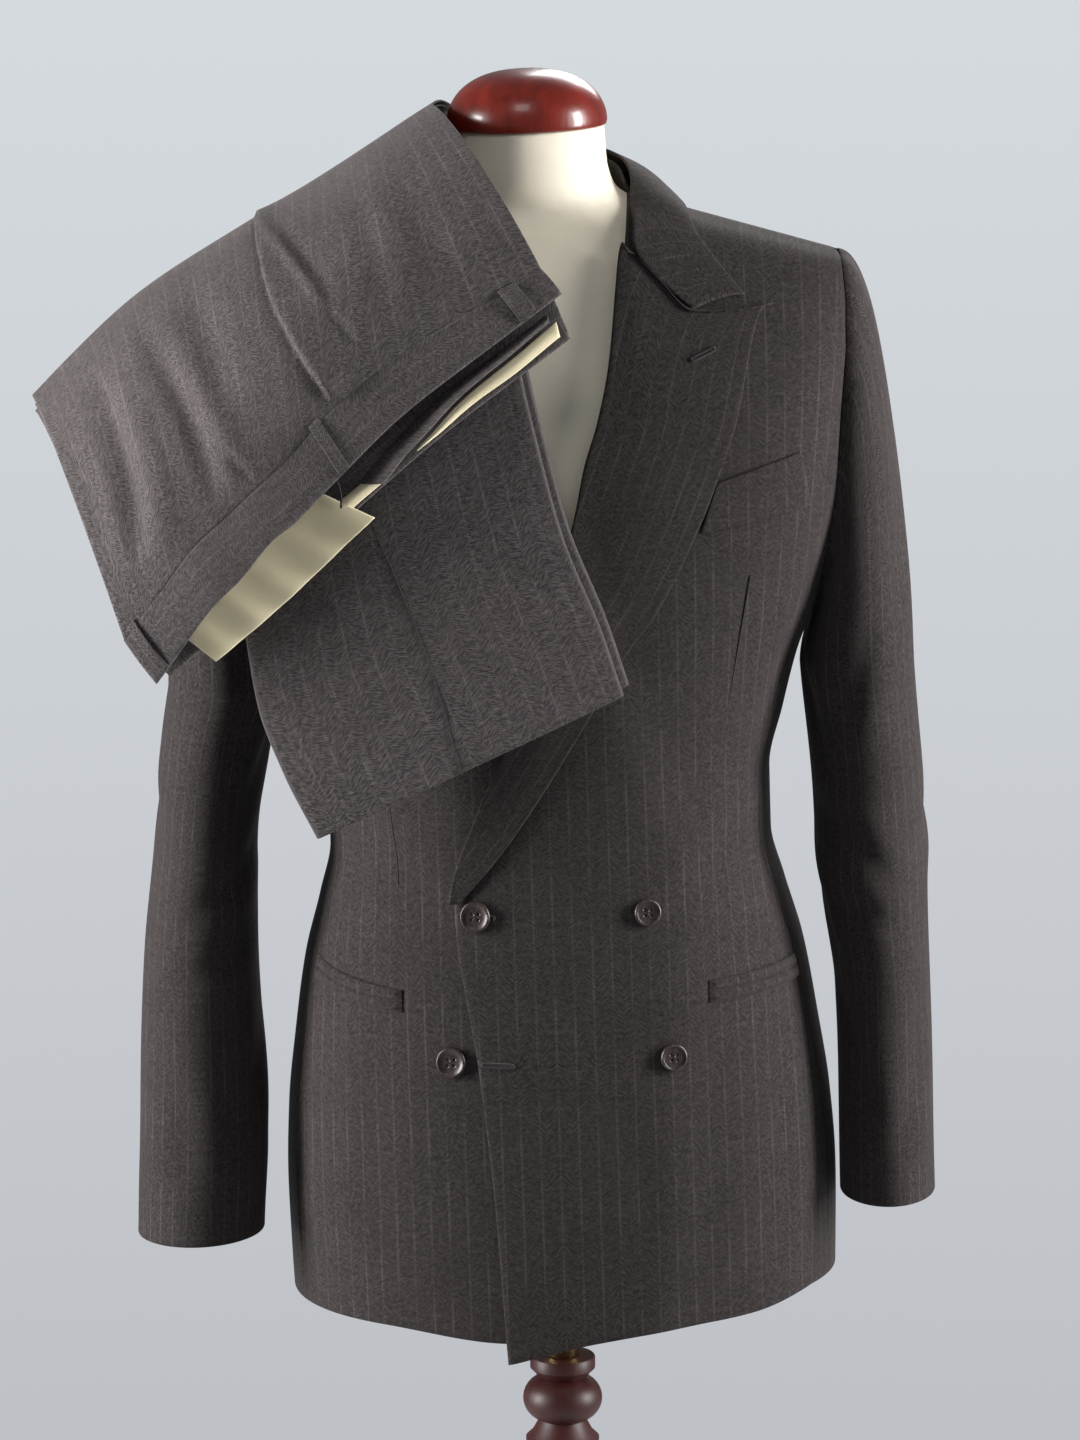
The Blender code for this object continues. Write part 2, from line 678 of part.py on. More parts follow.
def make_lapel(side):
    """The turned facing from the roll line to its edge, lying on the front."""
    rows, columns = 15, 6
    low = 1.024 if side > 0 else 1.146
    outer, inner = [], []
    for i in range(rows):
        t = i / (rows - 1)
        outline_level = mix(low, LAPEL_EDGE.at[-1] - 0.0006, t)
        tip = LAPEL_EDGE.read("across", outline_level)
        gorge = ease((t - 0.80) / 0.20)
        root_level = mix(outline_level, GORGE_LINE.values["level"][0], gorge)
        root = over_edge(root_level) - 0.0015
        if side < 0:
            tip, root = 2 * CENTRE_FRONT - tip, under_edge(root_level)
            root = min(root + 0.0015, over_edge(root_level) - 0.0035)
        outer_row, inner_row = [], []
        for j in range(columns):
            q = j / (columns - 1)
            across = mix(root, tip, q)
            straight = mix(root_level, outline_level, q)
            gorge_height = GORGE_LINE.read("level", side * (across - CENTRE_FRONT) + CENTRE_FRONT)
            height = mix(straight, gorge_height, gorge)
            base = (lap_out(height, across) if side > 0 else 0.0) + LIE
            off = base + CLOTH + LAPEL_ROLL * (1 - q) ** 2
            outer_row.append(front_at(across, height, off))
            inner_row.append(front_at(across, height, off - CLOTH))
        outer.append(outer_row)
        inner.append(inner_row)
    shell("lapel_left" if side > 0 else "lapel_right", outer, inner, "suiting")


def through(points, count):
    """Count points on a smooth curve through the given ones."""
    spans = len(points) - 1
    ends = [2 * points[0] - points[1]] + points + [2 * points[-1] - points[-2]]
    found = []
    for k in range(count):
        at = k * spans / (count - 1)
        i = min(int(at), spans - 1)
        t = at - i
        a, b, c, d = ends[i : i + 4]
        found.append(
            0.5 * (2 * b + (c - a) * t + (2 * a - 5 * b + 4 * c - d) * t * t + (3 * b - a - 3 * c + d) * t**3)
        )
    return found


def mirrored(points):
    """A curve from the left's front end round the back to the right's."""
    return points + [Vector((-point.x, point.y, point.z)) for point in points[-2::-1]]


def make_collar():
    """The fall, which rolls over the stand and lies on the shoulders, and the stand round the neck."""
    lie = LIE + CLOTH
    rolls = [front_at(row.roll_across, row.roll_height, lie + COLLAR_ROLL) for row in COLLAR_FRONT]
    rolls += [Vector((row.roll_across, row.roll_depth, row.roll_height)) for row in COLLAR_BACK]
    edges = [front_at(row.edge_across, row.edge_height, lie) for row in COLLAR_FRONT]
    edges += [over_at(row.edge_across, row.edge_depth, lie + COLLAR_BACK_LIFT) for row in COLLAR_BACK]
    middles = []
    for k, (roll, edge) in enumerate(zip(rolls, edges)):
        middle = roll.lerp(edge, 0.5)
        if k < len(COLLAR_FRONT):
            middles.append(front_at(middle.x, middle.z, lie + COLLAR_MIDDLE))
        else:
            middles.append(middle + Vector((0, 0, COLLAR_BACK_CROWN)))
    count = 29
    lines = [through(mirrored(line), count) for line in (rolls, middles, edges)]
    grid = [lines[0], through_pairs(lines, 0), lines[1], through_pairs(lines, 1), lines[2]]
    normals = normals_of(grid)
    shell("collar_fall", grid, moved(grid, normals, CLOTH * fall_sign(normals)), "suiting")

    tops, feet = [], []
    for row in COLLAR_BACK[1:]:
        inwards = Vector((row.roll_across, row.roll_depth, 0)).normalized() * -STAND_INSET
        tops.append(Vector((row.roll_across, row.roll_depth, row.roll_height - STAND_BELOW_ROLL)) + inwards)
        feet.append(over_at(row.roll_across + 0.0005, row.roll_depth + 0.002, LIE))
    tops, feet = through(mirrored(tops), 15), through(mirrored(feet), 15)
    outer = [feet, [foot.lerp(top, 0.5) for foot, top in zip(feet, tops)], tops]
    inner = [[point - Vector((point.x, point.y, 0)).normalized() * CLOTH for point in row] for row in outer]
    shell("collar_stand", outer, inner, "suiting")


def through_pairs(lines, k):
    """A line half-way between two of three lines, on their common curve."""
    share = 0.25 if k == 0 else 0.75
    found = []
    for a, b, c in zip(*lines):
        t = share
        found.append(a * (1 - t) * (1 - 2 * t) + b * 4 * t * (1 - t) + c * t * (2 * t - 1))
    return found


def fall_sign(normals):
    """Inwards is down, whichever way the grid's normals came out."""
    middle = normals[2][len(normals[0]) // 2]
    return -1 if middle.z > 0 else 1


def strip_on_front(name, lower, upper, columns, proud, base):
    """A strip of suiting on the left front, between two straight lines of the front view."""
    outer, inner = [], []
    for low_share in (0.0, 0.5, 1.0):
        outer_row, inner_row = [], []
        for j in range(columns):
            t = j / (columns - 1)
            low = Vector(lower[0]).lerp(Vector(lower[1]), t)
            high = Vector(upper[0]).lerp(Vector(upper[1]), t)
            across, height = low.lerp(high, low_share)
            off = base + lap_out(height, across)
            outer_row.append(front_at(across, height, off + proud))
            inner_row.append(front_at(across, height, off))
        outer.append(outer_row)
        inner.append(inner_row)
    return shell(name, outer, inner, "suiting")


def make_hip_pocket(side):
    """Two rolled jettings with the mouth between them, curving up to the side."""
    columns = 10
    rise = HIP_POCKET.rise_left if side > 0 else HIP_POCKET.rise_right
    outer, inner = [], []
    for offset, proud in HIP_POCKET_LIPS:
        outer_row, inner_row = [], []
        for j in range(columns):
            t = j / (columns - 1)
            level = HIP_POCKET.height + rise * t**1.5 + offset
            start = girth_across(level, HIP_POCKET.inner_across)
            end = girth_deep(level, HIP_POCKET.outer_depth)
            girth = mix(start, end, t)
            base = SEAM + (lap_out(level, body_point(level, girth).x) if side > 0 else 0.0)
            outer_row.append(on_body(level, side * girth, base + proud))
            inner_row.append(on_body(level, side * girth, base))
        outer.append(outer_row)
        inner.append(inner_row)
    shell("hip_pocket_left" if side > 0 else "hip_pocket_right", outer, inner, "suiting")


def turned(name, profile, steps, material, frame=None, leaned=True):
    """A solid turned about +Z through (radius, height) points, from its lower pole to its upper one."""
    frame = frame or Matrix.Identity(4)
    builder = bmesh.new()
    rings = []
    for radius, height in profile:
        if radius < 1e-6:
            rings.append([builder.verts.new(frame @ Vector((0, 0, height)))])
            continue
        angles = [2 * math.pi * k / steps for k in range(steps)]
        points = [Vector((radius * math.cos(angle), radius * math.sin(angle), height)) for angle in angles]
        rings.append([builder.verts.new(frame @ point) for point in points])
    for low, high in zip(rings, rings[1:]):
        for k in range(steps):
            after = (k + 1) % steps
            corners = [low[k % len(low)], low[after % len(low)], high[after % len(high)], high[k % len(high)]]
            builder.faces.new(list(dict.fromkeys(corners)))
    for ring in (rings[0], rings[-1]):
        if len(ring) > 1:
            builder.faces.new(ring)
    return finish(name, builder, material, leaned)


def make_button(button):
    lapped = button.name != "button_lower_right"
    out = SEAM + (lap_out(button.height, button.across) if lapped else 0.0)
    seat = front_at(button.across, button.height, out)
    away = (front_at(button.across, button.height, out + 0.01) - seat).normalized()
    frame = Matrix.Translation(seat) @ away.to_track_quat("Z", "Y").to_matrix().to_4x4()
    r = button.radius
    profile = [
        (0.35 * r, 0.0), (0.80 * r, 0.0004), (r, 0.0018), (0.97 * r, 0.0034), (0.86 * r, 0.0040),
        (0.74 * r, 0.0031), (0.0, 0.0029),
    ]
    turned(button.name, profile, 20, "horn", frame)


def station_point(kind, at):
    return Vector([STATIONS.read(f"{kind}_{axis}", at) for axis in ("across", "depth", "height")])


def trouser_path(at, along):
    """The near side's surface. along is 0 at the waist seam, 1 on the shoulder, 2 at the knee fold."""
    seam, ridge, fold = (station_point(kind, at) for kind in ("seam", "ridge", "fold"))
    end = seam if along <= 1 else fold
    turn = abs(1 - along) * math.pi / 2
    fullness, swing = (1.0, 0.35) if along <= 1 else (0.72, 0.10)
    down = 1 - math.cos(turn) ** fullness
    forward = math.sin(turn) ** fullness
    sideways = mix(down, forward, swing)
    return Vector((mix(ridge.x, end.x, sideways), mix(ridge.y, end.y, forward), mix(ridge.z, end.z, down)))


def trouser_grid(alongs, ats):
    return [[trouser_path(at, along) for at in ats] for along in alongs]


def make_trouser_top():
    """The near side from the waist seam to the knee fold, its waistband, and the layers under it."""
    columns = 13
    ats = [k / (columns - 1) for k in range(columns)]
    alongs = [0.0, 0.16, 0.32, 0.48, 0.62, 0.75, 0.87, 1.0, 1.13, 1.28, 1.45, 1.62, 1.80, 2.0]
    grid = trouser_grid(alongs, ats)
    normals = normals_of(grid)
    sign = -1 if normals[0][columns // 2].y < 0 else 1
    shell("trousers_near_side", grid, moved(grid, normals, sign * CLOTH), "trouser_cloth")

    inside = CLOTH + SEAM

    def to_core(i, j):
        front = 1 - ease((alongs[i] - 0.25) / 0.65)
        return sign * (inside + STATIONS.read("hollow", ats[j]) * front)

    core = moved(grid, normals, to_core)
    core_back = []
    for i, (row, line) in enumerate(zip(core, normals)):
        front = 1 - ease((alongs[i] - 0.1) / 0.75)
        fold = ease((alongs[i] - 1.1) / 0.7)
        back_row = []
        for at, point, normal in zip(ats, row, line):
            straight = Vector((0, normal.y, normal.z)).normalized()
            thick = mix(mix(STATIONS.read("bundle", at), FOLD_LAYERS, fold), FRONT_LAYERS, front)
            back_row.append(point + sign * thick * straight)
        core_back.append(back_row)

    shell("trousers_inner_layers", core, core_back, "trouser_cloth", rim=EDGE_LAYERS)
    make_near_band(grid, normals, sign, ats)
    make_far_band([a.lerp(b, 0.5) for a, b in zip(core[0], core_back[0])], ats)


def make_near_band(grid, normals, sign, ats):
    band_rows = 4
    seam = [point + Vector((0.10, 0, -0.16)).normalized() * SEAM for point in grid[0]]
    edge = [station_point("edge", at) for at in ats]
    rows = [[a.lerp(b, i / (band_rows - 1)) for a, b in zip(seam, edge)] for i in range(band_rows)]
    band_normals = [normals[0]] * band_rows
    shell("waistband_near", rows, moved(rows, band_normals, sign * NEAR_BAND), "trouser_cloth")


def make_far_band(top, ats):
    """The far side's waistband, whose inner face shows, and the curtain that hangs over it."""
    band_rows = 4
    edge = [Vector((FAR_EDGE.read("across", at), FAR_EDGE.read("depth", at), FAR_EDGE.read("height", at)))
            for at in ats]
    start = [a + (b - a).normalized() * FAR_BAND_GAP for a, b in zip(top, edge)]
    rows = [[a.lerp(b, i / (band_rows - 1)) for a, b in zip(start, edge)] for i in range(band_rows)]
    band_normals = normals_of(rows)
    sign = -1 if band_normals[1][6].y < 0 else 1
    shell("waistband_far", rows, moved(rows, band_normals, sign * FAR_BAND), "trouser_cloth")

    columns = 9
    outer = []
    for share in (1.0, 0.66, 0.33, 0.0):
        row = []
        for k in range(columns):
            at = mix(CURTAIN["start"], CURTAIN["end"], k / (columns - 1))
            low = Vector((FAR_EDGE.read("across", at), FAR_EDGE.read("depth", at), FAR_EDGE.read("height", at)))
            high = station_point("seam", at)
            high.y = low.y
            up = (high - low).normalized()
            row.append(low + up * mix(-CURTAIN["below_edge"], CURTAIN["height"] - CURTAIN["below_edge"], share))
        outer.append(row)
    front = [[point + Vector((0, -CURTAIN["front"], 0)) for point in row] for row in outer]
    back = [[point + Vector((0, -CURTAIN["back"], 0)) for point in row] for row in outer]
    shell("waist_curtain", front, back, "curtain")


def leg_depth(across):
    """Depth of the near leg's front face, which hangs flat and turns back a little at the sides."""
    return LEG_DEPTH + 0.55 * max(0.0, -0.05 - across) ** 2 + 0.9 * max(0.0, across + 0.01) ** 2


def make_leg(name, shift, behind):
    """A pressed leg: two walls with a slit between them that opens at the hem."""
    rows, columns = 9, 9
    front, back, slit_front, slit_back = [], [], [], []
    for i in range(rows):
        t = i / (rows - 1)
        left, right = LEGS.read("left", t) + shift[0], LEGS.read("right", t) + shift[0]
        left_height, right_height = LEGS.read("left_height", t), LEGS.read("right_height", t)
        row = []
        for j in range(columns):
            q = j / (columns - 1)
            across = mix(left, right, q)
            depth = leg_depth(across) + behind + LEG_TURN_BACK * ease((t - 0.6) / 0.4)
            row.append(Vector((across, depth, mix(left_height, right_height, q) + shift[1])))
        front.append(row)
        back.append([point + Vector((0, LEG_THICKNESS, 0)) for point in row])
        if i < LEG_SLIT_ROWS:
            ends = row[0].lerp(row[1], LEG_SLIT_INSET), row[-1].lerp(row[-2], LEG_SLIT_INSET)
            inset = [ends[0]] + row[1:-1] + [ends[1]]
            slit_front.append([point + Vector((0, LEG_WALL, 0)) for point in inset])
            slit_back.append([point + Vector((0, LEG_THICKNESS - LEG_WALL, 0)) for point in inset])
    builder = bmesh.new()

    def placed(grid):
        return [[builder.verts.new(point) for point in row] for row in grid]

    def loop(front_row, back_row):
        return front_row + back_row[::-1]

    outside = [loop(a, b) for a, b in zip(placed(front), placed(back))]
    slit = [loop(a, b) for a, b in zip(placed(slit_front), placed(slit_back))]
    size = 2 * columns
    for rings in (outside, slit):
        for low, high in zip(rings, rings[1:]):
            for k in range(size):
                after = (k + 1) % size
                builder.faces.new((low[k], low[after], high[after], high[k]))
    for k in range(size):
        after = (k + 1) % size
        builder.faces.new((outside[0][k], slit[0][k], slit[0][after], outside[0][after]))
    for end in (outside[-1], slit[-1]):
        for k in range(columns - 1):
            builder.faces.new((end[k], end[k + 1], end[size - 2 - k], end[size - 1 - k]))
    finish(name, builder, "trouser_cloth")


def make_form():
    """The smooth torso with its neck, closed below, its wooden cap, and the pole it stands on."""
    steps = 26
    rings = []

    def form_ring(level, inset):
        length = float(half_ring(round(level, 7))[2][-1])
        girths = [length * (2 * k / steps - 1) for k in range(steps)]
        return [on_body(level, girth, -inset) for girth in girths]

    for level in levels_between(FORM_BOTTOM + 0.015, FORM_TOP, 17):
        rings.append(form_ring(level, mix(FORM_SKIRT_EASE, FORM_EASE, ease((level - FORM_BOTTOM) / 0.25))))
    floor_ring = [Vector((0.86 * point.x, 0.86 * point.y, FORM_BOTTOM)) for point in rings[0]]
    rings.insert(0, floor_ring)
    for height, half_width, half_depth in ((1.4500, 0.0600, 0.0400), (1.462, 0.0535, 0.0470),
                                           (1.475, 0.0495, 0.0485), (CAP_BASE - SEAM, NECK_RADIUS, NECK_RADIUS)):
        ring = []
        for k in range(steps):
            turn = math.pi * (2 * k / steps - 1)
            ring.append(Vector((half_width * math.sin(turn), -half_depth * math.cos(turn), height)))
        rings.append(ring)
    builder = bmesh.new()
    placed = [[builder.verts.new(point) for point in ring] for ring in rings]
    for low, high in zip(placed, placed[1:]):
        for k in range(steps):
            after = (k + 1) % steps
            builder.faces.new((low[k], low[after], high[after], high[k]))
    builder.faces.new(placed[0])
    builder.faces.new(placed[-1])
    finish("form_torso", builder, "form_cloth")

    dome = [(CAP_RADIUS * 0.96, CAP_BASE), (CAP_RADIUS, CAP_BASE + CAP_LIP)]
    for k in range(1, 8):
        turn = math.pi / 2 * k / 7
        dome.append((CAP_RADIUS * math.cos(turn) ** 0.8, CAP_BASE + CAP_LIP + CAP_DOME * math.sin(turn)))
    dome[-1] = (0.0, dome[-1][1])
    turned("neck_cap", dome, 26, "cap_wood")


def make_stand():
    """A brass rod over a turned column with a round foot."""
    turned("stand_rod", [(ROD_RADIUS, COLUMN_TOP + SEAM), (ROD_RADIUS, FORM_BOTTOM - 0.0011)], 16, "brass",
           leaned=False)
    ball = [(0.0262 * math.cos(turn) ** 0.7, 0.6610 + 0.0165 * math.sin(turn))
            for turn in (math.radians(a) for a in (-62, -35, 0, 35, 62))]
    profile = [(0.200, 0.0), (0.200, 0.012), (0.194, 0.020), (0.150, 0.028), (0.090, 0.036), (0.058, 0.046),
               (0.040, 0.064), (0.033, 0.090), (0.040, 0.110), (0.030, 0.122), (0.026, 0.150), (0.030, 0.260),
               (0.033, 0.400), (0.030, 0.540), (0.0242, 0.610), (0.0242, 0.634), (0.0200, 0.638)]
    profile += ball + [(0.0215, 0.6820), (0.0215, COLUMN_TOP)]
    turned("stand_column", profile, 26, "stand_wood", leaned=False)


def main():
    for old in list(bpy.data.objects):
        bpy.data.objects.remove(old)
    lean = bpy.data.objects.new("lean", None)
    lean.location = LEAN_PIVOT
    lean.rotation_euler = (0, -LEAN, 0)
    bpy.context.scene.collection.objects.link(lean)
    make_fronts()
    for side in (1, -1):
        make_side(side)
        make_back(side)
        make_sleeve(side)
        make_lapel(side)
        make_hip_pocket(side)
    make_collar()
    strip_on_front("breast_welt", BREAST_WELT["lower"], BREAST_WELT["upper"], 8, WELT_PROUD, SEAM)
    for button in BUTTONS:
        make_button(button)
    make_trouser_top()
    make_leg("trouser_leg_left", (0.0, 0.0), 0.0)
    make_leg("trouser_leg_right", FAR_LEG_SHIFT, LEG_THICKNESS + SEAM)
    make_form()
    make_stand()


main()
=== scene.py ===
"""A charcoal double-breasted suit on a dress form, its trousers slung over one shoulder: the looks.

Metres, +Z up, in the model's own frame. The jacket is cut on sections of the body: a level is the
height of a section at the neck, and girth is the way round it from the centre front, positive to the
wearer's left. Each sheet of cloth is a grid of points with its thickness behind it, and its UV map
"cut" holds metres of cloth, so that weave and stripes keep their own scale on every piece.
"""

import math

import bpy
import numpy as np
from mathutils import Matrix, Vector


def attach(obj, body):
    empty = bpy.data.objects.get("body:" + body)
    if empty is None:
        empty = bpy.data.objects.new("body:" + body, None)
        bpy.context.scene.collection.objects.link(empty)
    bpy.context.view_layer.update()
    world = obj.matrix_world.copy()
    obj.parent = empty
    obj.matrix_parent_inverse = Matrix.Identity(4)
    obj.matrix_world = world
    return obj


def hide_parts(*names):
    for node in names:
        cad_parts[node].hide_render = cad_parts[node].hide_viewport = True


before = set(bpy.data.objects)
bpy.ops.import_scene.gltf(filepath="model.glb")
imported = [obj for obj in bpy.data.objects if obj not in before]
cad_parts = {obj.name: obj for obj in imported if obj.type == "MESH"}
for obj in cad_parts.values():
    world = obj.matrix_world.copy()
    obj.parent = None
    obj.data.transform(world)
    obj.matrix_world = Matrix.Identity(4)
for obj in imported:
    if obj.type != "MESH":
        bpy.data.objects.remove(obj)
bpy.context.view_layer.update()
bpy.ops.object.select_all(action="DESELECT")

CLOTH = 0.0019
SEAM = 0.0004
LIE = 0.0011
LEAN = math.radians(1.9)
LEAN_PIVOT = np.array([0.002, 0.0, 0.80])

HEM_LEVEL = 0.748
BACK_HEM = 0.752
ARMPIT_LEVEL = 1.190
TOP_LEVEL = 1.458
PANEL_TOP = 1.45798
BACK_NECK_LEVEL = 1.437
NECK_HALF_WIDTH = 0.063
SHOULDER_SLOPE = 0.3065
CENTRE_FRONT = 0.004
LAP, LAP_SHORT, LAP_FADE = 0.0034, 0.010, 0.040
SIDE_SHARE = 0.8
SIDE_SEAM_FRONT = -0.045
SIDE_SEAM_BACK = 0.050
ARMHOLE_LEVEL, ARMHOLE_RISE, ARMHOLE_FRONT, ARMHOLE_BACK, ARMHOLE_ROUND = 1.324, 0.134, 0.062, 0.075, 2.3
ARMHOLE_SHARE = 0.72
SLEEVE_GIRTH, SLEEVE_RADIUS = 0.335, 0.046
SLEEVE_HEAD_FULLNESS = 0.87
NECK_FOOT, NECK_TOP, NECK_RADIUS = 1.4500, 1.5011, 0.048
FORM_FOOT, FORM_SHOULDER = 0.800, 1.446
CAP_FOOT, CAP_RADIUS, CAP_RISE = 1.5045, 0.051, 0.0335
POCKET_LEVEL, POCKET_FRONT, POCKET_SIDE, POCKET_HALF = 0.9602, 0.0970, -0.0460, 0.0070
SEAT_WIDTH = 0.345
WAIST_WIDTH, WAIST_LENGTH = 0.036, 0.46
CURTAIN_START, CURTAIN_END, CURTAIN_WIDTH = 0.085, 0.50, 0.050
STRIP_WIDTH = 0.012
LEG_LENGTH = 0.27
STAND_WIDTH = 0.025
THREAD_RADIUS = 0.00045


def ease(amount):
    """0 to 1 with a soft start and end."""
    amount = np.clip(amount, 0.0, 1.0)
    return amount * amount * (3 - 2 * amount)


def mix(first, second, amount):
    return first + (second - first) * amount


def run_of(path):
    """How far along a path of points each of them lies."""
    return np.concatenate([[0], np.cumsum(np.linalg.norm(np.diff(path, axis=0), axis=1))])


class Table:
    """The named columns of a table, eased between its rows without overshoot. The first is its axis."""

    def __init__(self, names, rows):
        names = names.split()
        columns = np.array(sorted(rows), float).T
        self.at = columns[0]
        self.values = dict(zip(names, columns))
        self.slopes = {name: self.slopes_of(values) for name, values in self.values.items()}

    def slopes_of(self, values):
        steps = np.diff(self.at)
        rises = np.diff(values) / steps
        slopes = np.empty(len(values))
        slopes[0], slopes[-1] = rises[0], rises[-1]
        for i in range(1, len(values) - 1):
            before, after = rises[i - 1], rises[i]
            weight = steps[i - 1] + 2 * steps[i], 2 * steps[i - 1] + steps[i]
            turning = before * after <= 0
            slopes[i] = 0 if turning else sum(weight) / (weight[1] / after + weight[0] / before)
        return slopes

    def read(self, name, at):
        at = np.asarray(at, float)
        i = np.clip(np.searchsorted(self.at, at) - 1, 0, len(self.at) - 2)
        step = self.at[i + 1] - self.at[i]
        t = np.clip((at - self.at[i]) / step, 0.0, 1.0)
        values, slopes = self.values[name], self.slopes[name]
        return (
            values[i] * (1 + 2 * t) * (1 - t) ** 2
            + slopes[i] * step * t * (1 - t) ** 2
            + values[i + 1] * t * t * (3 - 2 * t)
            + slopes[i + 1] * step * t * t * (t - 1)
        )


SECTIONS = Table("level half_width front back squareness", [
    (0.700, 0.1755, 0.1310, 0.1290, 2.2), (0.770, 0.1785, 0.1340, 0.1330, 2.2),
    (0.820, 0.1795, 0.1350, 0.1360, 2.2), (0.870, 0.1770, 0.1340, 0.1350, 2.2),
    (0.920, 0.1705, 0.1300, 0.1300, 2.2), (0.970, 0.1620, 0.1250, 0.1220, 2.2),
    (1.010, 0.1510, 0.1200, 0.1140, 2.2), (1.045, 0.1430, 0.1165, 0.1080, 2.2),
    (1.085, 0.1430, 0.1150, 0.1070, 2.2), (1.125, 0.1525, 0.1170, 0.1110, 2.2),
    (1.160, 0.1620, 0.1205, 0.1180, 2.3), (1.200, 0.1770, 0.1240, 0.1240, 2.5),
    (1.270, 0.1960, 0.1245, 0.1280, 2.7), (1.310, 0.2000, 0.1180, 0.1270, 3.0),
    (1.350, 0.2030, 0.1060, 0.1210, 3.4), (1.390, 0.2050, 0.0880, 0.1080, 4.0),
    (1.420, 0.2050, 0.0690, 0.0890, 4.6), (1.440, 0.2035, 0.0500, 0.0660, 5.2),
    (1.452, 0.2015, 0.0300, 0.0400, 5.8), (TOP_LEVEL, 0.2000, 0.0006, 0.0006, 6.0),
])
OVER_EDGE = Table("level across", [
    (0.720, -0.0350), (0.836, -0.0412), (0.915, -0.0480), (1.020, -0.0600), (1.084, -0.0408),
    (1.127, -0.0218), (1.207, 0.0050), (1.274, 0.0252), (1.299, 0.0310), (1.353, 0.0495),
    (1.425, 0.0590), (TOP_LEVEL, 0.0630),
])
LAPEL_EDGE = Table("level across", [
    (1.022, -0.0590), (1.061, -0.0271), (1.110, 0.0058), (1.141, 0.0249), (1.182, 0.0505),
    (1.204, 0.0680), (1.259, 0.0977), (1.336, 0.1284), (1.392, 0.1484),
])
GORGE = Table("across level", [
    (0.0580, 1.4300), (0.0800, 1.4065), (0.0985, 1.3893), (0.1220, 1.3885), (0.1484, 1.3920),
])
OVER_HEM = Table("across level", [
    (-0.0354, 0.7270), (-0.0120, 0.7330), (0.0190, 0.7395), (0.0700, 0.7450), (0.1230, 0.7475),
    (0.1600, 0.7540),
])
UNDER_HEM = Table("across level", [
    (-0.0600, 0.7500), (0.0350, 0.7400), (0.1150, 0.7480), (0.1600, 0.7490),
])
SLEEVES = {
    1: Table("height outer inner depth half_depth", [
        (1.150, 0.2378, 0.1645, 0.000, 0.0600), (1.070, 0.2420, 0.1705, -0.001, 0.0560),
        (1.026, 0.2435, 0.1715, -0.004, 0.0540), (0.941, 0.2435, 0.1815, -0.014, 0.0520),
        (0.868, 0.2430, 0.1812, -0.022, 0.0500), (0.807, 0.2427, 0.1810, -0.028, 0.0490),
    ]),
    -1: Table("height outer inner depth half_depth", [
        (1.150, 0.2430, 0.1648, 0.000, 0.0600), (1.111, 0.2500, 0.1790, 0.000, 0.0580),
        (1.037, 0.2590, 0.1905, -0.003, 0.0540), (0.980, 0.2660, 0.1920, -0.009, 0.0520),
        (0.914, 0.2705, 0.1908, -0.016, 0.0500), (0.847, 0.2745, 0.1915, -0.022, 0.0480),
        (0.794, 0.2775, 0.1950, -0.028, 0.0470),
    ]),
}
COLLAR_FRONT = [
    (0.0995, 1.3910, 0.1311, 1.3985), (0.0800, 1.4080, 0.1200, 1.4120),
    (0.0660, 1.4250, 0.1090, 1.4260), (0.0645, 1.4415, 0.1030, 1.4345),
]
COLLAR_BACK = [
    (0.0640, -0.026, 1.4560, 0.0990, -0.020), (0.0650, 0.000, 1.4690, 0.0950, 0.014),
    (0.0590, 0.030, 1.4780, 0.0870, 0.048), (0.0400, 0.054, 1.4830, 0.0600, 0.084),
    (0.0000, 0.066, 1.4850, 0.0000, 0.098),
]
BUTTON_HOLE, BUTTON_HOLE_OUT = 0.0009, 0.19
BUTTONS = {
    "button_upper_right": (-0.0475, 1.0160, 0.0098), "button_upper_left": (0.0585, 1.0146, 0.0088),
    "button_lower_right": (-0.0665, 0.9235, 0.0098), "button_lower_left": (0.0722, 0.9222, 0.0088),
}
STATIONS = Table(
    "at seam_x seam_y seam_z edge_x edge_y edge_z ridge_x ridge_y ridge_z fold_x fold_y fold_z"
    " hollow bundle", [
    (0.00, -0.258, -0.155, 1.207, -0.240, -0.157, 1.181, -0.319, -0.030, 1.345,
     -0.235, 0.105, 1.190, 0.0005, 0.010),
    (0.25, -0.213, -0.172, 1.265, -0.195, -0.176, 1.239, -0.252, -0.025, 1.405,
     -0.165, 0.140, 1.235, 0.0130, 0.022),
    (0.50, -0.163, -0.178, 1.310, -0.147, -0.182, 1.284, -0.185, -0.018, 1.444,
     -0.090, 0.158, 1.275, 0.0170, 0.0126),
    (0.75, -0.101, -0.172, 1.368, -0.085, -0.176, 1.342, -0.118, -0.016, 1.484,
     -0.015, 0.160, 1.315, 0.0130, 0.034),
    (1.00, 0.006, -0.1545, 1.428, 0.0174, -0.1575, 1.4137, -0.060, -0.016, 1.519,
     0.060, 0.154, 1.350, 0.0005, 0.022),
])
FAR_EDGE = Table("at x y z", [
    (0.00, -0.232, -0.1485, 1.184), (0.25, -0.172, -0.1545, 1.232), (0.50, -0.112, -0.1560, 1.285),
    (0.75, -0.055, -0.1540, 1.331), (1.00, 0.022, -0.1485, 1.385),
])
LEG = Table("at left right left_height right_height", [
    (0.00, -0.1453, 0.0489, 1.0751, 1.1603), (0.17, -0.1640, 0.0360, 1.1150, 1.2030),
    (0.38, -0.1790, 0.0150, 1.1600, 1.2600), (0.58, -0.1850, 0.0030, 1.2080, 1.3100),
    (0.80, -0.1900, -0.0080, 1.2650, 1.3650), (1.00, -0.1930, -0.0150, 1.3050, 1.4150),
])
LEG_DEPTH = -0.1472
LEG_THICKNESS = 0.0042
LEG_TURN_BACK = 0.0012
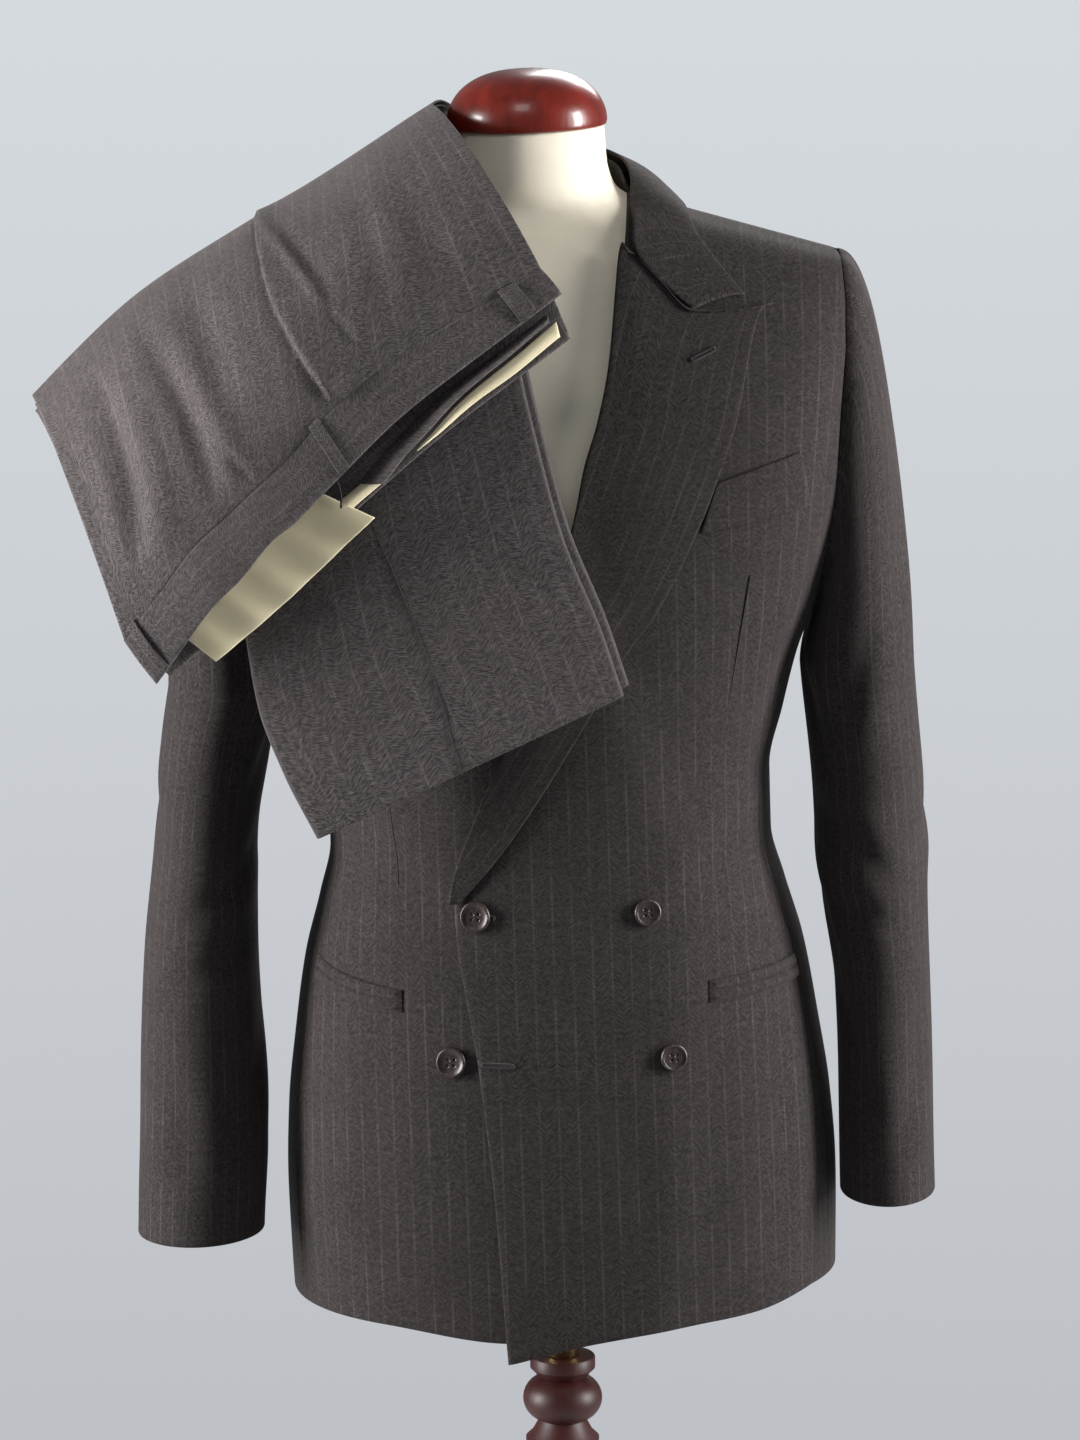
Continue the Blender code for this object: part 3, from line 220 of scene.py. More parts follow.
FLOOR_RADIUS = 1.9
CAMERA_PLACE, CAMERA_TILT, CAMERA_LENS = (-0.015, -3.6786, 1.8459), math.radians(78.8), 145
UPRIGHT = Matrix.Identity(4)


def lean(points, angle=LEAN):
    """From the garment's own upright frame to the form's slight lean, or back with -LEAN."""
    away = np.asarray(points, float) - LEAN_PIVOT
    tilted = away.copy()
    tilted[..., 0] = away[..., 0] * math.cos(angle) - away[..., 2] * math.sin(angle)
    tilted[..., 2] = away[..., 0] * math.sin(angle) + away[..., 2] * math.cos(angle)
    return tilted + LEAN_PIVOT


def drop(level, across):
    """How far a section droops from the neck out to the shoulder's tip."""
    rise = np.clip((level - ARMPIT_LEVEL) / (TOP_LEVEL - ARMPIT_LEVEL), 0.0, None)
    return SHOULDER_SLOPE * np.clip(np.abs(across) - NECK_HALF_WIDTH, 0.0, None) * rise**1.5


class Body:
    """The jacket's form: half sections at close levels, read by level and girth."""

    low, count, around, fine = 0.700, 1517, 601, 721

    def __init__(self):
        self.levels = np.linspace(self.low, TOP_LEVEL, self.count)
        turn = np.linspace(0, math.pi, self.fine)
        rows = []
        for level in self.levels:
            power = 2 / SECTIONS.read("squareness", level)
            across = SECTIONS.read("half_width", level) * np.clip(np.sin(turn), 0, 1) ** power
            reach = np.where(turn < math.pi / 2, -SECTIONS.read("front", level), SECTIONS.read("back", level))
            depth = reach * np.abs(np.cos(turn)) ** power
            girth = np.concatenate([[0], np.cumsum(np.hypot(np.diff(across), np.diff(depth)))])
            shares = np.linspace(0, girth[-1], self.around)
            evened = np.interp(shares, girth, across), np.interp(shares, girth, depth)
            rows.append((*evened, girth[-1], girth[self.fine // 2]))
        self.across = np.array([row[0] for row in rows])
        self.depth = np.array([row[1] for row in rows])
        self.length = np.array([row[2] for row in rows])
        self.widest = np.array([row[3] for row in rows])

    def rows_at(self, level):
        at = (np.clip(level, self.low, TOP_LEVEL) - self.low) / (TOP_LEVEL - self.low) * (self.count - 1)
        row = np.clip(at.astype(int), 0, self.count - 2)
        return row, at - row

    def read(self, column, level):
        row, part = self.rows_at(np.asarray(level, float))
        return mix(column[row], column[row + 1], part)

    def flat(self, level, girth):
        """Across and depth of a point, for the wearer's left."""
        level, girth = np.broadcast_arrays(np.asarray(level, float), np.abs(girth))
        row, part = self.rows_at(level)
        found = []
        for grid in (self.across, self.depth):
            ends = []
            for r in (row, row + 1):
                at = np.clip(girth / self.length[r], 0, 1) * (self.around - 1)
                k = np.clip(at.astype(int), 0, self.around - 2)
                ends.append(mix(grid[r, k], grid[r, k + 1], at - k))
            found.append(mix(ends[0], ends[1], part))
        return found

    def point(self, level, girth):
        across, depth = self.flat(level, girth)
        height = np.minimum(level, TOP_LEVEL) - drop(level, across)
        return np.stack([np.sign(girth) * across, depth, height + 0 * across], -1)

    def surface(self, level, girth, out=0.0):
        """Points of the jacket's surface, moved out along its normal."""
        level, girth = np.broadcast_arrays(np.asarray(level, float), np.asarray(girth, float))
        step = 0.0010
        along = self.point(level, girth + step) - self.point(level, girth - step)
        up = self.point(np.minimum(level + step, TOP_LEVEL), girth) - self.point(level - step, girth)
        normal = np.cross(along, up)
        normal /= np.linalg.norm(normal, axis=-1, keepdims=True)
        return self.point(level, girth) + normal * np.asarray(out)[..., None]


def solve(read, target, low, high):
    """Where a rising reading meets its target, by halving."""
    low, high, target = (np.array(a, float) for a in np.broadcast_arrays(low, high, target))
    for _ in range(28):
        middle = (low + high) / 2
        below = read(middle) < target
        low, high = np.where(below, middle, low), np.where(below, high, middle)
    return (low + high) / 2


BODY = Body()


def girth_across(level, across):
    """Girth of the point of the front that lies this far across."""
    level, across = np.broadcast_arrays(np.asarray(level, float), np.asarray(across, float))
    found = solve(lambda g: BODY.flat(level, g)[0], np.abs(across), 0.0, BODY.read(BODY.widest, level))
    return np.sign(across) * found


def back_girth_across(level, across):
    level, across = np.broadcast_arrays(np.asarray(level, float), np.asarray(across, float))
    low, high = BODY.read(BODY.widest, level), BODY.read(BODY.length, level)
    return solve(lambda g: -BODY.flat(level, g)[0], -np.abs(across), low, high)


def girth_deep(level, depth):
    """Girth of the point of the wearer's left side at this depth."""
    level, depth = np.broadcast_arrays(np.asarray(level, float), np.asarray(depth, float))
    return solve(lambda g: BODY.flat(level, g)[1], depth, 0.0, BODY.read(BODY.length, level))


def front_at(across, height, out=0.0):
    """Points of the jacket's front at these places of the front view, moved out."""
    across, height = np.broadcast_arrays(np.asarray(across, float), np.asarray(height, float))
    level = height
    for _ in range(30):
        level = np.minimum(TOP_LEVEL, height + drop(level, across))
    return BODY.surface(level, girth_across(level, across), out)


def over_at(across, depth, out=0.0):
    """Points of the shoulders' upper side at these places of the plan, moved out."""
    across, depth = np.broadcast_arrays(np.asarray(across, float), np.asarray(depth, float))

    def girth_of(level):
        return np.where(depth < 0, np.abs(girth_across(level, across)), back_girth_across(level, across))

    level = solve(lambda at: -np.abs(BODY.flat(at, girth_of(at))[1]), -np.abs(depth), 1.28, TOP_LEVEL)
    side = np.where(across < 0, -1.0, 1.0)
    return BODY.surface(level, side * girth_of(level), out)


def armhole_depth(level):
    """Depths of the armhole's front and back edge at a level. Both are 0 under and over it."""
    rise = np.clip(np.abs(level - ARMHOLE_LEVEL) / ARMHOLE_RISE, 0, 1)
    reach = (1 - rise**ARMHOLE_ROUND) ** (1 / ARMHOLE_ROUND)
    front = np.minimum(ARMHOLE_FRONT * reach, ARMHOLE_SHARE * SECTIONS.read("front", level))
    back = np.minimum(ARMHOLE_BACK * reach, ARMHOLE_SHARE * SECTIONS.read("back", level))
    outside = rise >= 1
    return np.where(outside, 0.0, -front), np.where(outside, 0.0, back)


def armhole_bottom(depth):
    """Level of the armhole's lower curve at a depth."""
    reach = np.where(np.asarray(depth) < 0, ARMHOLE_FRONT, ARMHOLE_BACK)
    share = (1 - np.abs(depth / reach) ** ARMHOLE_ROUND) ** (1 / ARMHOLE_ROUND)
    return ARMHOLE_LEVEL - ARMHOLE_RISE * share


def front_side_girth(level):
    depth = armhole_depth(level)[0]
    depth = np.where(level < ARMHOLE_LEVEL, np.minimum(SIDE_SEAM_FRONT, depth), depth)
    return girth_deep(level, np.maximum(depth - SEAM / 2, -SIDE_SHARE * SECTIONS.read("front", level)))


def back_side_girth(level):
    depth = armhole_depth(level)[1]
    depth = np.where(level < ARMHOLE_LEVEL, np.maximum(SIDE_SEAM_BACK, depth), depth)
    return girth_deep(level, np.minimum(depth + SEAM / 2, SIDE_SHARE * SECTIONS.read("back", level)))


def over_edge(level):
    return OVER_EDGE.read("across", level)


def under_edge(level):
    """The over front's edge mirrored in the centre front, which is the body's own centre at the neck."""
    return 2 * CENTRE_FRONT * (1 - ease((level - 1.30) / 0.12)) - over_edge(level)


def lap_out(level, across):
    """How far the over front stands off where it laps over the under front."""
    return LAP * (1 - ease((across - under_edge(level) - LAP_SHORT) / LAP_FADE))


def levels_between(low, high, count):
    """Levels that part the front's profile into equal lengths."""
    fine = np.linspace(low, high, 800)
    profile = SECTIONS.read("front", fine)
    length = np.concatenate([[0], np.cumsum(np.hypot(np.diff(fine), np.diff(profile)))])
    return np.interp(np.linspace(0, length[-1], count), length, fine)


def hem_level(level, hem):
    """A row's level, with the rows near the hem drawn to the hem's line."""
    return level + (hem - HEM_LEVEL) * (1 - ease((level - HEM_LEVEL) / 0.10))


def creased(creases, u, v):
    """Relief in metres of soft creases, each a fold with a ridge beside it.

    A crease is (u0, v0, u1, v1, width, depth), with its ends on the two places that u and v hold.
    """
    relief = np.zeros(np.broadcast(u, v).shape)
    for u0, v0, u1, v1, width, depth in creases:
        run = np.array([u1 - u0, v1 - v0])
        length = math.hypot(*run)
        run = run / length
        along = (u - u0) * run[0] + (v - v0) * run[1]
        bow = 0.06 * length * np.sin(math.pi * np.clip(along / length, 0, 1))
        aside = (u - u0) * -run[1] + (v - v0) * run[0] - bow
        past = np.clip(np.maximum(-along, along - length), 0, None)
        fade = np.sin(math.pi * np.clip((along + 0.12 * length) / (1.24 * length), 0, 1))
        fade = fade * np.exp(-((past / width) ** 2))
        relief -= depth * fade * np.exp(-((aside / width) ** 2))
        relief += 0.55 * depth * fade * np.exp(-(((aside - 1.9 * width) / (1.3 * width)) ** 2))
    return relief


class Value:
    """A shader socket that adds its own Math nodes when it is used in an expression."""

    def __init__(self, tree, socket):
        self.tree, self.socket = tree, socket

    def node(self, kind, settings=None, inputs=None, output=0):
        """One output of a new node, whose settings go in before its inputs."""
        made = self.tree.nodes.new(kind)
        for key, value in (settings or {}).items():
            if key == "stops":
                while len(made.color_ramp.elements) < len(value):
                    made.color_ramp.elements.new(1.0)
                for element, (at, colour) in zip(made.color_ramp.elements, value):
                    element.position, element.color = at, colour
            else:
                setattr(made, key, value)
        for key, value in (inputs or {}).items():
            if isinstance(value, Value):
                self.tree.links.new(value.socket, made.inputs[key])
            else:
                made.inputs[key].default_value = value
        return Value(self.tree, made.outputs[output])

    def math(self, operation, other=None, swapped=False):
        inputs = {0: self} if other is None else ({0: other, 1: self} if swapped else {0: self, 1: other})
        return self.node("ShaderNodeMath", {"operation": operation}, inputs)

    def __add__(self, other):
        return self.math("ADD", other)

    def __radd__(self, other):
        return self.math("ADD", other, True)

    def __sub__(self, other):
        return self.math("SUBTRACT", other)

    def __rsub__(self, other):
        return self.math("SUBTRACT", other, True)

    def __mul__(self, other):
        return self.math("MULTIPLY", other)

    def __rmul__(self, other):
        return self.math("MULTIPLY", other, True)

    def towards(self, other, amount):
        """This colour mixed towards another by an amount."""
        return self.node("ShaderNodeMix", {"data_type": "RGBA"}, {6: self, 7: other, 0: amount}, 2)

    def ramp(self, *stops):
        """A colour from this value, by stops of (value, colour)."""
        return self.node("ShaderNodeValToRGB", {"stops": stops}, {0: self})

    def noise(self, scale, detail, **more):
        """Cloudy noise at this place."""
        inputs = {"Vector": self, "Scale": scale, "Detail": detail, **more}
        return self.node("ShaderNodeTexNoise", None, inputs)

    def scaled(self, scale):
        """This place, drawn together by a scale along each axis."""
        return self.node("ShaderNodeMapping", None, {"Vector": self, "Scale": scale})


def sine(value):
    return value.math("SINE")


def clamped(value):
    return value.node("ShaderNodeClamp", None, {0: value})


def new_material(name, roughness, constants):
    """A material, its start for expressions, and its shader with the sockets that stay constant set."""
    made = bpy.data.materials.new(name)
    made.use_nodes = True
    tree = made.node_tree
    shader = tree.nodes["Principled BSDF"]
    shader.inputs["Roughness"].default_value = roughness
    for key, value in constants.items():
        shader.inputs[key].default_value = value
    return made, Value(tree, None), shader


def on_the_cut(start):
    """The place on the map of the cut, and its two distances: across the cloth and along it."""
    place = start.node("ShaderNodeUVMap", {"uv_map": "cut"})
    across = start.node("ShaderNodeSeparateXYZ", None, {0: place})
    return place, across, Value(start.tree, across.socket.node.outputs[1])


def on_the_piece(start):
    """The place in the piece's own space."""
    return start.node("ShaderNodeTexCoord", None, None, 3)


def finish_material(start, shader, colour, height=None, distance=0.0, roughness=None):
    """Links what varies over the surface to the shader. distance is the height of the bumps in metres."""
    start.tree.links.new(colour.socket, shader.inputs["Base Color"])
    if roughness is not None:
        start.tree.links.new(roughness.socket, shader.inputs["Roughness"])
    if height is not None:
        bump = start.node("ShaderNodeBump", None, {"Strength": 1.0, "Distance": distance, "Height": height})
        start.tree.links.new(bump.socket, shader.inputs["Normal"])


TWILL_PITCH = 0.00125
TWILL_SLOPE = 0.85
HERRINGBONE = 0.0085
STRIPE_PITCH = 0.0121
STRIPE_WIDTH = 0.0009
STRIPE_DOTS = 0.0024
STRIPE_COLOUR = (0.42, 0.38, 0.37, 1.0)
WARMER = (1.12, 1.0, 0.92, 1)


def wool(name, dark, light, stripe):
    """Napped herringbone wool, its flecked twill lines and its faint pale stripes on the map of the cut."""
    made, start, shader = new_material(name, 0.86, {
        "Sheen Weight": 0.08, "Sheen Roughness": 0.40, "Sheen Tint": (0.80, 0.72, 0.70, 1.0),
        "Specular IOR Level": 0.22,
    })
    place, across, along = on_the_cut(start)
    side = sine(across * (math.pi / HERRINGBONE)).math("GREATER_THAN", 0.0) * 2.0 - 1.0
    slant = along + side * across * TWILL_SLOPE + place.noise(90.0, 2.0) * 0.0012
    twill = sine(slant * (2 * math.pi / TWILL_PITCH)) * 0.5 + 0.5
    # The flecks are drawn out along the twill, so they turn with each band of the herringbone.
    drawn = start.node("ShaderNodeCombineXYZ", None, {0: slant, 1: along * 0.42})
    fleck = drawn.noise(1250.0, 3.0, Roughness=0.7)
    grain = clamped((fleck - 0.36) * 3.4)
    clump = clamped((drawn.noise(640.0, 2.0, Roughness=0.8) - 0.40) * 4.0)
    cloud = place.noise(26.0, 3.0)
    tone = clamped(twill * 0.22 + grain * 0.48 + clump * 0.42 + cloud * 0.14 - 0.26)
    off_stripe = sine(across * (math.pi / STRIPE_PITCH)).math("ABSOLUTE")
    stripes = clamped(1.0 - off_stripe * (1 / math.sin(math.pi * STRIPE_WIDTH / STRIPE_PITCH)))
    dots = clamped(sine(along * (2 * math.pi / STRIPE_DOTS)) * 0.35 + fleck * 1.5)
    worn = clamped((cloud - 0.32) * 3.0)
    warm = tuple(0.5 * (a + b) * c for a, b, c in zip(dark, light, WARMER))
    colour = tone.ramp((0.0, dark), (1.0, light))
    colour = colour.towards(warm, clamped(place.noise(9.0, 2.0) * 1.6 - 0.55) * 0.25)
    colour = colour.towards(STRIPE_COLOUR, stripes * dots * worn * stripe)
    finish_material(start, shader, colour, twill * 0.35 + fleck * 0.8, 0.00016)
    return made


def cotton(name, dark, light, thread=0.0009):
    """Plain woven cotton on the map of the cut."""
    made, start, shader = new_material(name, 0.8, {"Sheen Weight": 0.12, "Specular IOR Level": 0.25})
    place, across, along = on_the_cut(start)
    weave = sine(across * (2 * math.pi / thread)) * sine(along * (2 * math.pi / thread)) * 0.5 + 0.5
    slub = place.noise(700.0, 2.0)
    tone = clamped(weave * 0.3 + place.noise(30.0, 4.0) * 0.6 + slub * 0.3 - 0.15)
    finish_material(start, shader, tone.ramp((0.0, dark), (1.0, light)), weave * 0.7 + slub * 0.5, 0.00012)
    return made


def lacquer(name, dark, light, rough, coat):
    """Turned wood under lacquer, with its grain drawn out along the height."""
    made, start, shader = new_material(name, rough, {"Coat Weight": coat, "Coat Roughness": 0.06})
    drawn = on_the_piece(start).scaled((60.0, 60.0, 5.0))
    pores = drawn.noise(9.0, 3.0)
    tone = clamped(drawn.noise(1.0, 6.0, Distortion=1.2) * 1.3 + pores * 0.35 - 0.35)
    colour = tone.ramp((0.0, dark), (1.0, light))
    finish_material(start, shader, colour, pores, 0.00006, clamped(rough + pores * 0.12))
    return made


def horn(name):
    """Polished dark horn with paler streaks."""
    made, start, shader = new_material(name, 0.35, {"Coat Weight": 0.15, "Coat Roughness": 0.25})
    streak = on_the_piece(start).scaled((260.0, 120.0, 90.0)).noise(1.0, 5.0, Distortion=2.0)
    colour = clamped(streak * 2.0 - 0.62).ramp(
        (0.0, (0.008, 0.005, 0.005, 1)), (0.6, (0.030, 0.016, 0.013, 1)), (1.0, (0.13, 0.075, 0.055, 1)))
    finish_material(start, shader, colour, streak, 0.00003, clamped(streak * 0.2 + 0.28))
    return made


def brass(name):
    """Turned brass with fine lines round it and a little tarnish."""
    made, start, shader = new_material(name, 0.28, {"Metallic": 1.0})
    place = on_the_piece(start)
    lines = place.scaled((30.0, 30.0, 900.0)).noise(1.0, 4.0)
    tarnish = place.noise(22.0, 5.0)
    colour = tarnish.ramp((0.30, (0.30, 0.20, 0.09, 1)), (0.70, (0.62, 0.47, 0.24, 1)))
    finish_material(start, shader, colour, lines, 0.00003, clamped(tarnish * 0.3 + lines * 0.15 + 0.05))
    return made


SUITING = wool("suiting", (0.0047, 0.0037, 0.0036, 1), (0.069, 0.056, 0.054, 1), 0.105)
# The trousers' cloth is the suiting's own wool made lighter: painted light, for the trousers lying in more
# light than the jacket's front.
LIT_TROUSER_CLOTH = wool("trouser_cloth", (0.0172, 0.0148, 0.0148, 1), (0.178, 0.153, 0.152, 1), 0.17)
CURTAIN = cotton("curtain", (0.74, 0.63, 0.38, 1), (0.97, 0.87, 0.62, 1))
FORM_CLOTH = cotton("form_cloth", (0.80, 0.72, 0.57, 1), (0.96, 0.89, 0.74, 1), thread=0.0011)
THREAD = cotton("thread", (0.010, 0.008, 0.008, 1), (0.040, 0.034, 0.033, 1))
HORN = horn("horn")
CAP_WOOD = lacquer("cap_wood", (0.050, 0.002, 0.001, 1), (0.23, 0.016, 0.004, 1), 0.24, 0.22)
STAND_WOOD = lacquer("stand_wood", (0.010, 0.0008, 0.0006, 1), (0.065, 0.006, 0.004, 1), 0.42, 0.0)
BRASS = brass("brass")


def pair(first, second):
    """A grid of places from two numbers, each a grid, a row or a column."""
    return np.stack(np.broadcast_arrays(first, second), -1)


def unit(vectors):
    return vectors / np.maximum(np.linalg.norm(vectors, axis=-1, keepdims=True), 1e-9)


def grid_normals(points, wrap=False):
    """Unit normals of a grid of points, from its columns and its rows."""
    along = np.roll(points, -1, 1) - np.roll(points, 1, 1) if wrap else np.gradient(points, axis=1)
    return unit(np.cross(along, np.gradient(points, axis=0)))


def outwards(points, away=(0.0, 0.0, 1.1), wrap=False):
    """The grid's normals, turned to look away from a point, or from a tube's own middle."""
    normals = grid_normals(points, wrap)
    centre = points.mean(axis=1, keepdims=True) if wrap else np.array(away)
    return normals if ((points - centre) * normals).sum() > 0 else -normals


def add_mesh(name, vertices, faces, maps, material):
    """An object from points of the upright garment, lists of faces, and a map place for each corner."""
    mesh = bpy.data.meshes.new(name)
    mesh.from_pydata(lean(vertices).tolist(), [], faces)
    layer = mesh.uv_layers.new(name="cut")
    layer.data.foreach_set("uv", np.asarray(maps, "f").ravel())
    mesh.shade_smooth()
    mesh.materials.append(material)
    piece = bpy.data.objects.new(name, mesh)
    bpy.context.scene.collection.objects.link(piece)
    return piece


def hand_over(piece, nodes):
    """Puts a finished piece on the one body, and hides the solids that it stands for."""
    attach(piece, "root")
    if nodes:
        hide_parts(*nodes)
    return piece


def quads(grid):
    """The faces between the rows and columns of a grid of vertex numbers."""
    return np.stack([grid[:-1, :-1], grid[:-1, 1:], grid[1:, 1:], grid[1:, :-1]], -1).reshape(-1, 4)


def border(grid):
    """The grid's edge, once round and back to its first corner."""
    return np.concatenate([grid[0], grid[1:, -1], grid[-1, -2::-1], grid[-2:0:-1, 0], grid[0, :1]])


def cloth(name, points, maps, thickness, material, nodes, away=(0.0, 0.0, 1.1),
          wrap=False, inner=None):
    """A sheet of cloth on a grid of points, with an inner face and rounded edges.

    points are the outer face, whose normals look away from a point, or from a tube's own middle.
    maps hold metres of cloth. A tube's maps have one more column, for its seam.
    """
    rows, columns = points.shape[:2]
    normals = outwards(points, away, wrap)
    flipped = (normals * grid_normals(points, wrap)).sum() < 0
    if inner is None:
        inner = points - normals * thickness
    ids = np.arange(rows * columns).reshape(rows, columns)
    if wrap:
        ids = np.concatenate([ids, ids[:, :1]], 1)
    places = np.arange(rows * ids.shape[1]).reshape(rows, -1)
    beyond = np.zeros_like(points)
    beyond[0] += unit(points[0] - points[1])
    beyond[-1] += unit(points[-1] - points[-2])
    if wrap:
        rings = [(ids[0], places[0]), (ids[-1, ::-1], places[-1, ::-1])]
    else:
        beyond[:, 0] += unit(points[:, 0] - points[:, 1])
        beyond[:, -1] += unit(points[:, -1] - points[:, -2])
        rings = [(border(ids), border(places))]
    outer, back, beyond = points.reshape(-1, 3), inner.reshape(-1, 3), beyond.reshape(-1, 3)
    vertices, count = [outer, back], 2 * rows * columns
    faces = [quads(ids), quads(ids)[:, ::-1] + rows * columns]
    corners = [quads(places), quads(places)[:, ::-1]]
    for ring, spots in rings:
        own = ring[:-1]
        through, lines = back[own] - outer[own], [own]
        half = np.linalg.norm(through, axis=-1, keepdims=True) / 2
        for k in (1, 2, 3):
            share, proud = (1 - math.cos(math.pi * k / 4)) / 2, math.sin(math.pi * k / 4)
            vertices.append(outer[own] + through * share + beyond[own] * half * proud)
            lines.append(count + np.arange(len(own)))
            count += len(own)
        lines.append(own + rows * columns)
        for a, b in zip(lines, lines[1:]):
            faces.append(np.stack([np.roll(a, -1), a, b, np.roll(b, -1)], -1))
            corners.append(np.stack([spots[1:], spots[:-1], spots[:-1], spots[1:]], -1))
    faces, corners = np.concatenate(faces), np.concatenate(corners)
    if flipped:
        faces, corners = faces[:, ::-1], corners[:, ::-1]
    maps_of_corners = maps.reshape(-1, 2)[corners]
    piece = add_mesh(f"{name}_cloth", np.concatenate(vertices), faces.tolist(), maps_of_corners, material)
    hand_over(piece, nodes)
    face = outer[quads(ids)]
    sides = np.cross(face[:, 2] - face[:, 0], face[:, 3] - face[:, 1])
    return piece


def tube(name, path, radius, material, closed=False, sides=8):
    """A thread along a path of points."""
    path = np.asarray(path, float)
    step = np.roll(path, -1, 0) - np.roll(path, 1, 0) if closed else np.gradient(path, axis=0)
    step = unit(step)
    aside = unit(np.cross(step, np.array([0.31, 0.22, 0.93])))
    up = np.cross(step, aside)
    turn = (2 * np.pi * np.arange(sides) / sides)[:, None]
    rings = path[:, None] + radius * (aside[:, None] * np.cos(turn) + up[:, None] * np.sin(turn))
    count = len(path)
    ids = np.arange(count * sides).reshape(count, sides)
    ids = np.concatenate([ids, ids[:, :1]], 1)
    vertices = rings.reshape(-1, 3)
    if closed:
        faces = quads(np.concatenate([ids, ids[:1]], 0)).tolist()
    else:
        vertices = np.concatenate([vertices, path[:1], path[-1:]])
        first, last = ids[0].tolist(), ids[-1].tolist()
        faces = quads(ids).tolist()
        faces += [[count * sides, first[k + 1], first[k]] for k in range(sides)]
        faces += [[count * sides + 1, last[k], last[k + 1]] for k in range(sides)]
    maps = [(vertices[k, 0], vertices[k, 2]) for face in faces for k in face]
    return hand_over(add_mesh(name, vertices, faces, maps, material), ())


def line(points, count):
    """Count places on a smooth curve through a few points."""
    points = np.asarray(points, float)
    length = run_of(points)
    found = []
    for k in range(points.shape[1]):
        table = Table("at value", list(zip(length, points[:, k])))
        found.append(table.read("value", np.linspace(0, length[-1], count)))
    return np.stack(found, -1)


def soft(u, v, scale, depth, seed):
    """Gentle unevenness of worn cloth: a few long waves across each other."""
    waves = ((1.0, 0.35, 1.0), (-0.4, 0.9, 0.7), (0.8, -0.7, 0.5), (0.2, 1.3, 0.4))
    total = 0.0
    for k, (a, b, size) in enumerate(waves):
        total = total + size * np.sin((a * u + b * v) * 2 * np.pi / scale + seed * (k + 1.7))
    return depth * total / sum(size for _, _, size in waves)


FRONT_CREASES = {
    1: [
        (0.078, 1.018, 0.168, 1.062, 0.010, 0.0009), (0.082, 0.990, 0.190, 0.955, 0.013, 0.0008),
        (0.190, 1.225, 0.150, 1.100, 0.010, 0.0014), (0.222, 1.170, 0.180, 1.030, 0.012, 0.0011),
        (0.150, 0.930, 0.138, 0.785, 0.016, 0.0011), (0.035, 0.905, 0.050, 0.790, 0.013, 0.0008),
        (0.205, 1.375, 0.180, 1.260, 0.011, 0.0010), (0.205, 0.900, 0.215, 0.780, 0.014, 0.0010),
    ],
    -1: [
        (0.070, 1.022, 0.155, 1.075, 0.011, 0.0010), (0.090, 0.975, 0.180, 0.940, 0.012, 0.0007),
        (0.185, 1.205, 0.158, 1.090, 0.011, 0.0013), (0.215, 1.150, 0.190, 1.010, 0.010, 0.0012),
        (0.120, 0.920, 0.112, 0.790, 0.015, 0.0010), (0.190, 0.880, 0.205, 0.770, 0.013, 0.0011),
        (0.200, 1.360, 0.172, 1.240, 0.012, 0.0009),
    ],
}
BACK_CREASES = {
    1: [
        (0.300, 1.300, 0.360, 1.180, 0.013, 0.0012), (0.310, 1.100, 0.400, 1.040, 0.011, 0.0013),
        (0.330, 1.060, 0.420, 1.020, 0.010, 0.0010), (0.380, 0.930, 0.370, 0.780, 0.017, 0.0013),
        (0.300, 0.950, 0.310, 0.800, 0.014, 0.0010), (0.350, 1.400, 0.420, 1.380, 0.013, 0.0008),
    ],
    -1: [
        (0.290, 1.280, 0.345, 1.190, 0.012, 0.0013), (0.315, 1.115, 0.410, 1.050, 0.012, 0.0012),
        (0.300, 1.045, 0.390, 1.000, 0.010, 0.0011), (0.400, 0.910, 0.385, 0.780, 0.016, 0.0011),
        (0.320, 0.960, 0.335, 0.820, 0.013, 0.0011), (0.340, 1.395, 0.430, 1.370, 0.012, 0.0009),
    ],
}
SLEEVE_CREASES = {
    1: [
        (-0.060, 1.060, 0.010, 1.020, 0.009, 0.0030), (-0.055, 1.000, 0.020, 0.985, 0.008, 0.0024),
        (-0.080, 1.180, -0.040, 1.080, 0.010, 0.0026), (0.010, 1.190, -0.030, 1.110, 0.011, 0.0022),
        (-0.060, 0.950, -0.020, 0.860, 0.011, 0.0022), (0.030, 0.930, 0.010, 0.840, 0.012, 0.0016),
        (0.050, 1.300, 0.030, 1.180, 0.014, 0.0018), (0.090, 1.080, 0.040, 1.030, 0.010, 0.0020),
        (-0.090, 1.030, -0.050, 0.960, 0.009, 0.0022),
    ],
    -1: [
        (0.060, 1.050, -0.005, 1.010, 0.009, 0.0028), (0.055, 0.990, -0.015, 0.970, 0.008, 0.0022),
        (0.080, 1.170, 0.035, 1.070, 0.010, 0.0024), (0.000, 1.200, 0.025, 1.100, 0.012, 0.0020),
        (0.065, 0.940, 0.020, 0.850, 0.011, 0.0020), (-0.030, 0.920, -0.010, 0.830, 0.013, 0.0017),
        (-0.050, 1.290, -0.030, 1.170, 0.014, 0.0016), (-0.085, 1.090, -0.040, 1.040, 0.010, 0.0018),
    ],
}


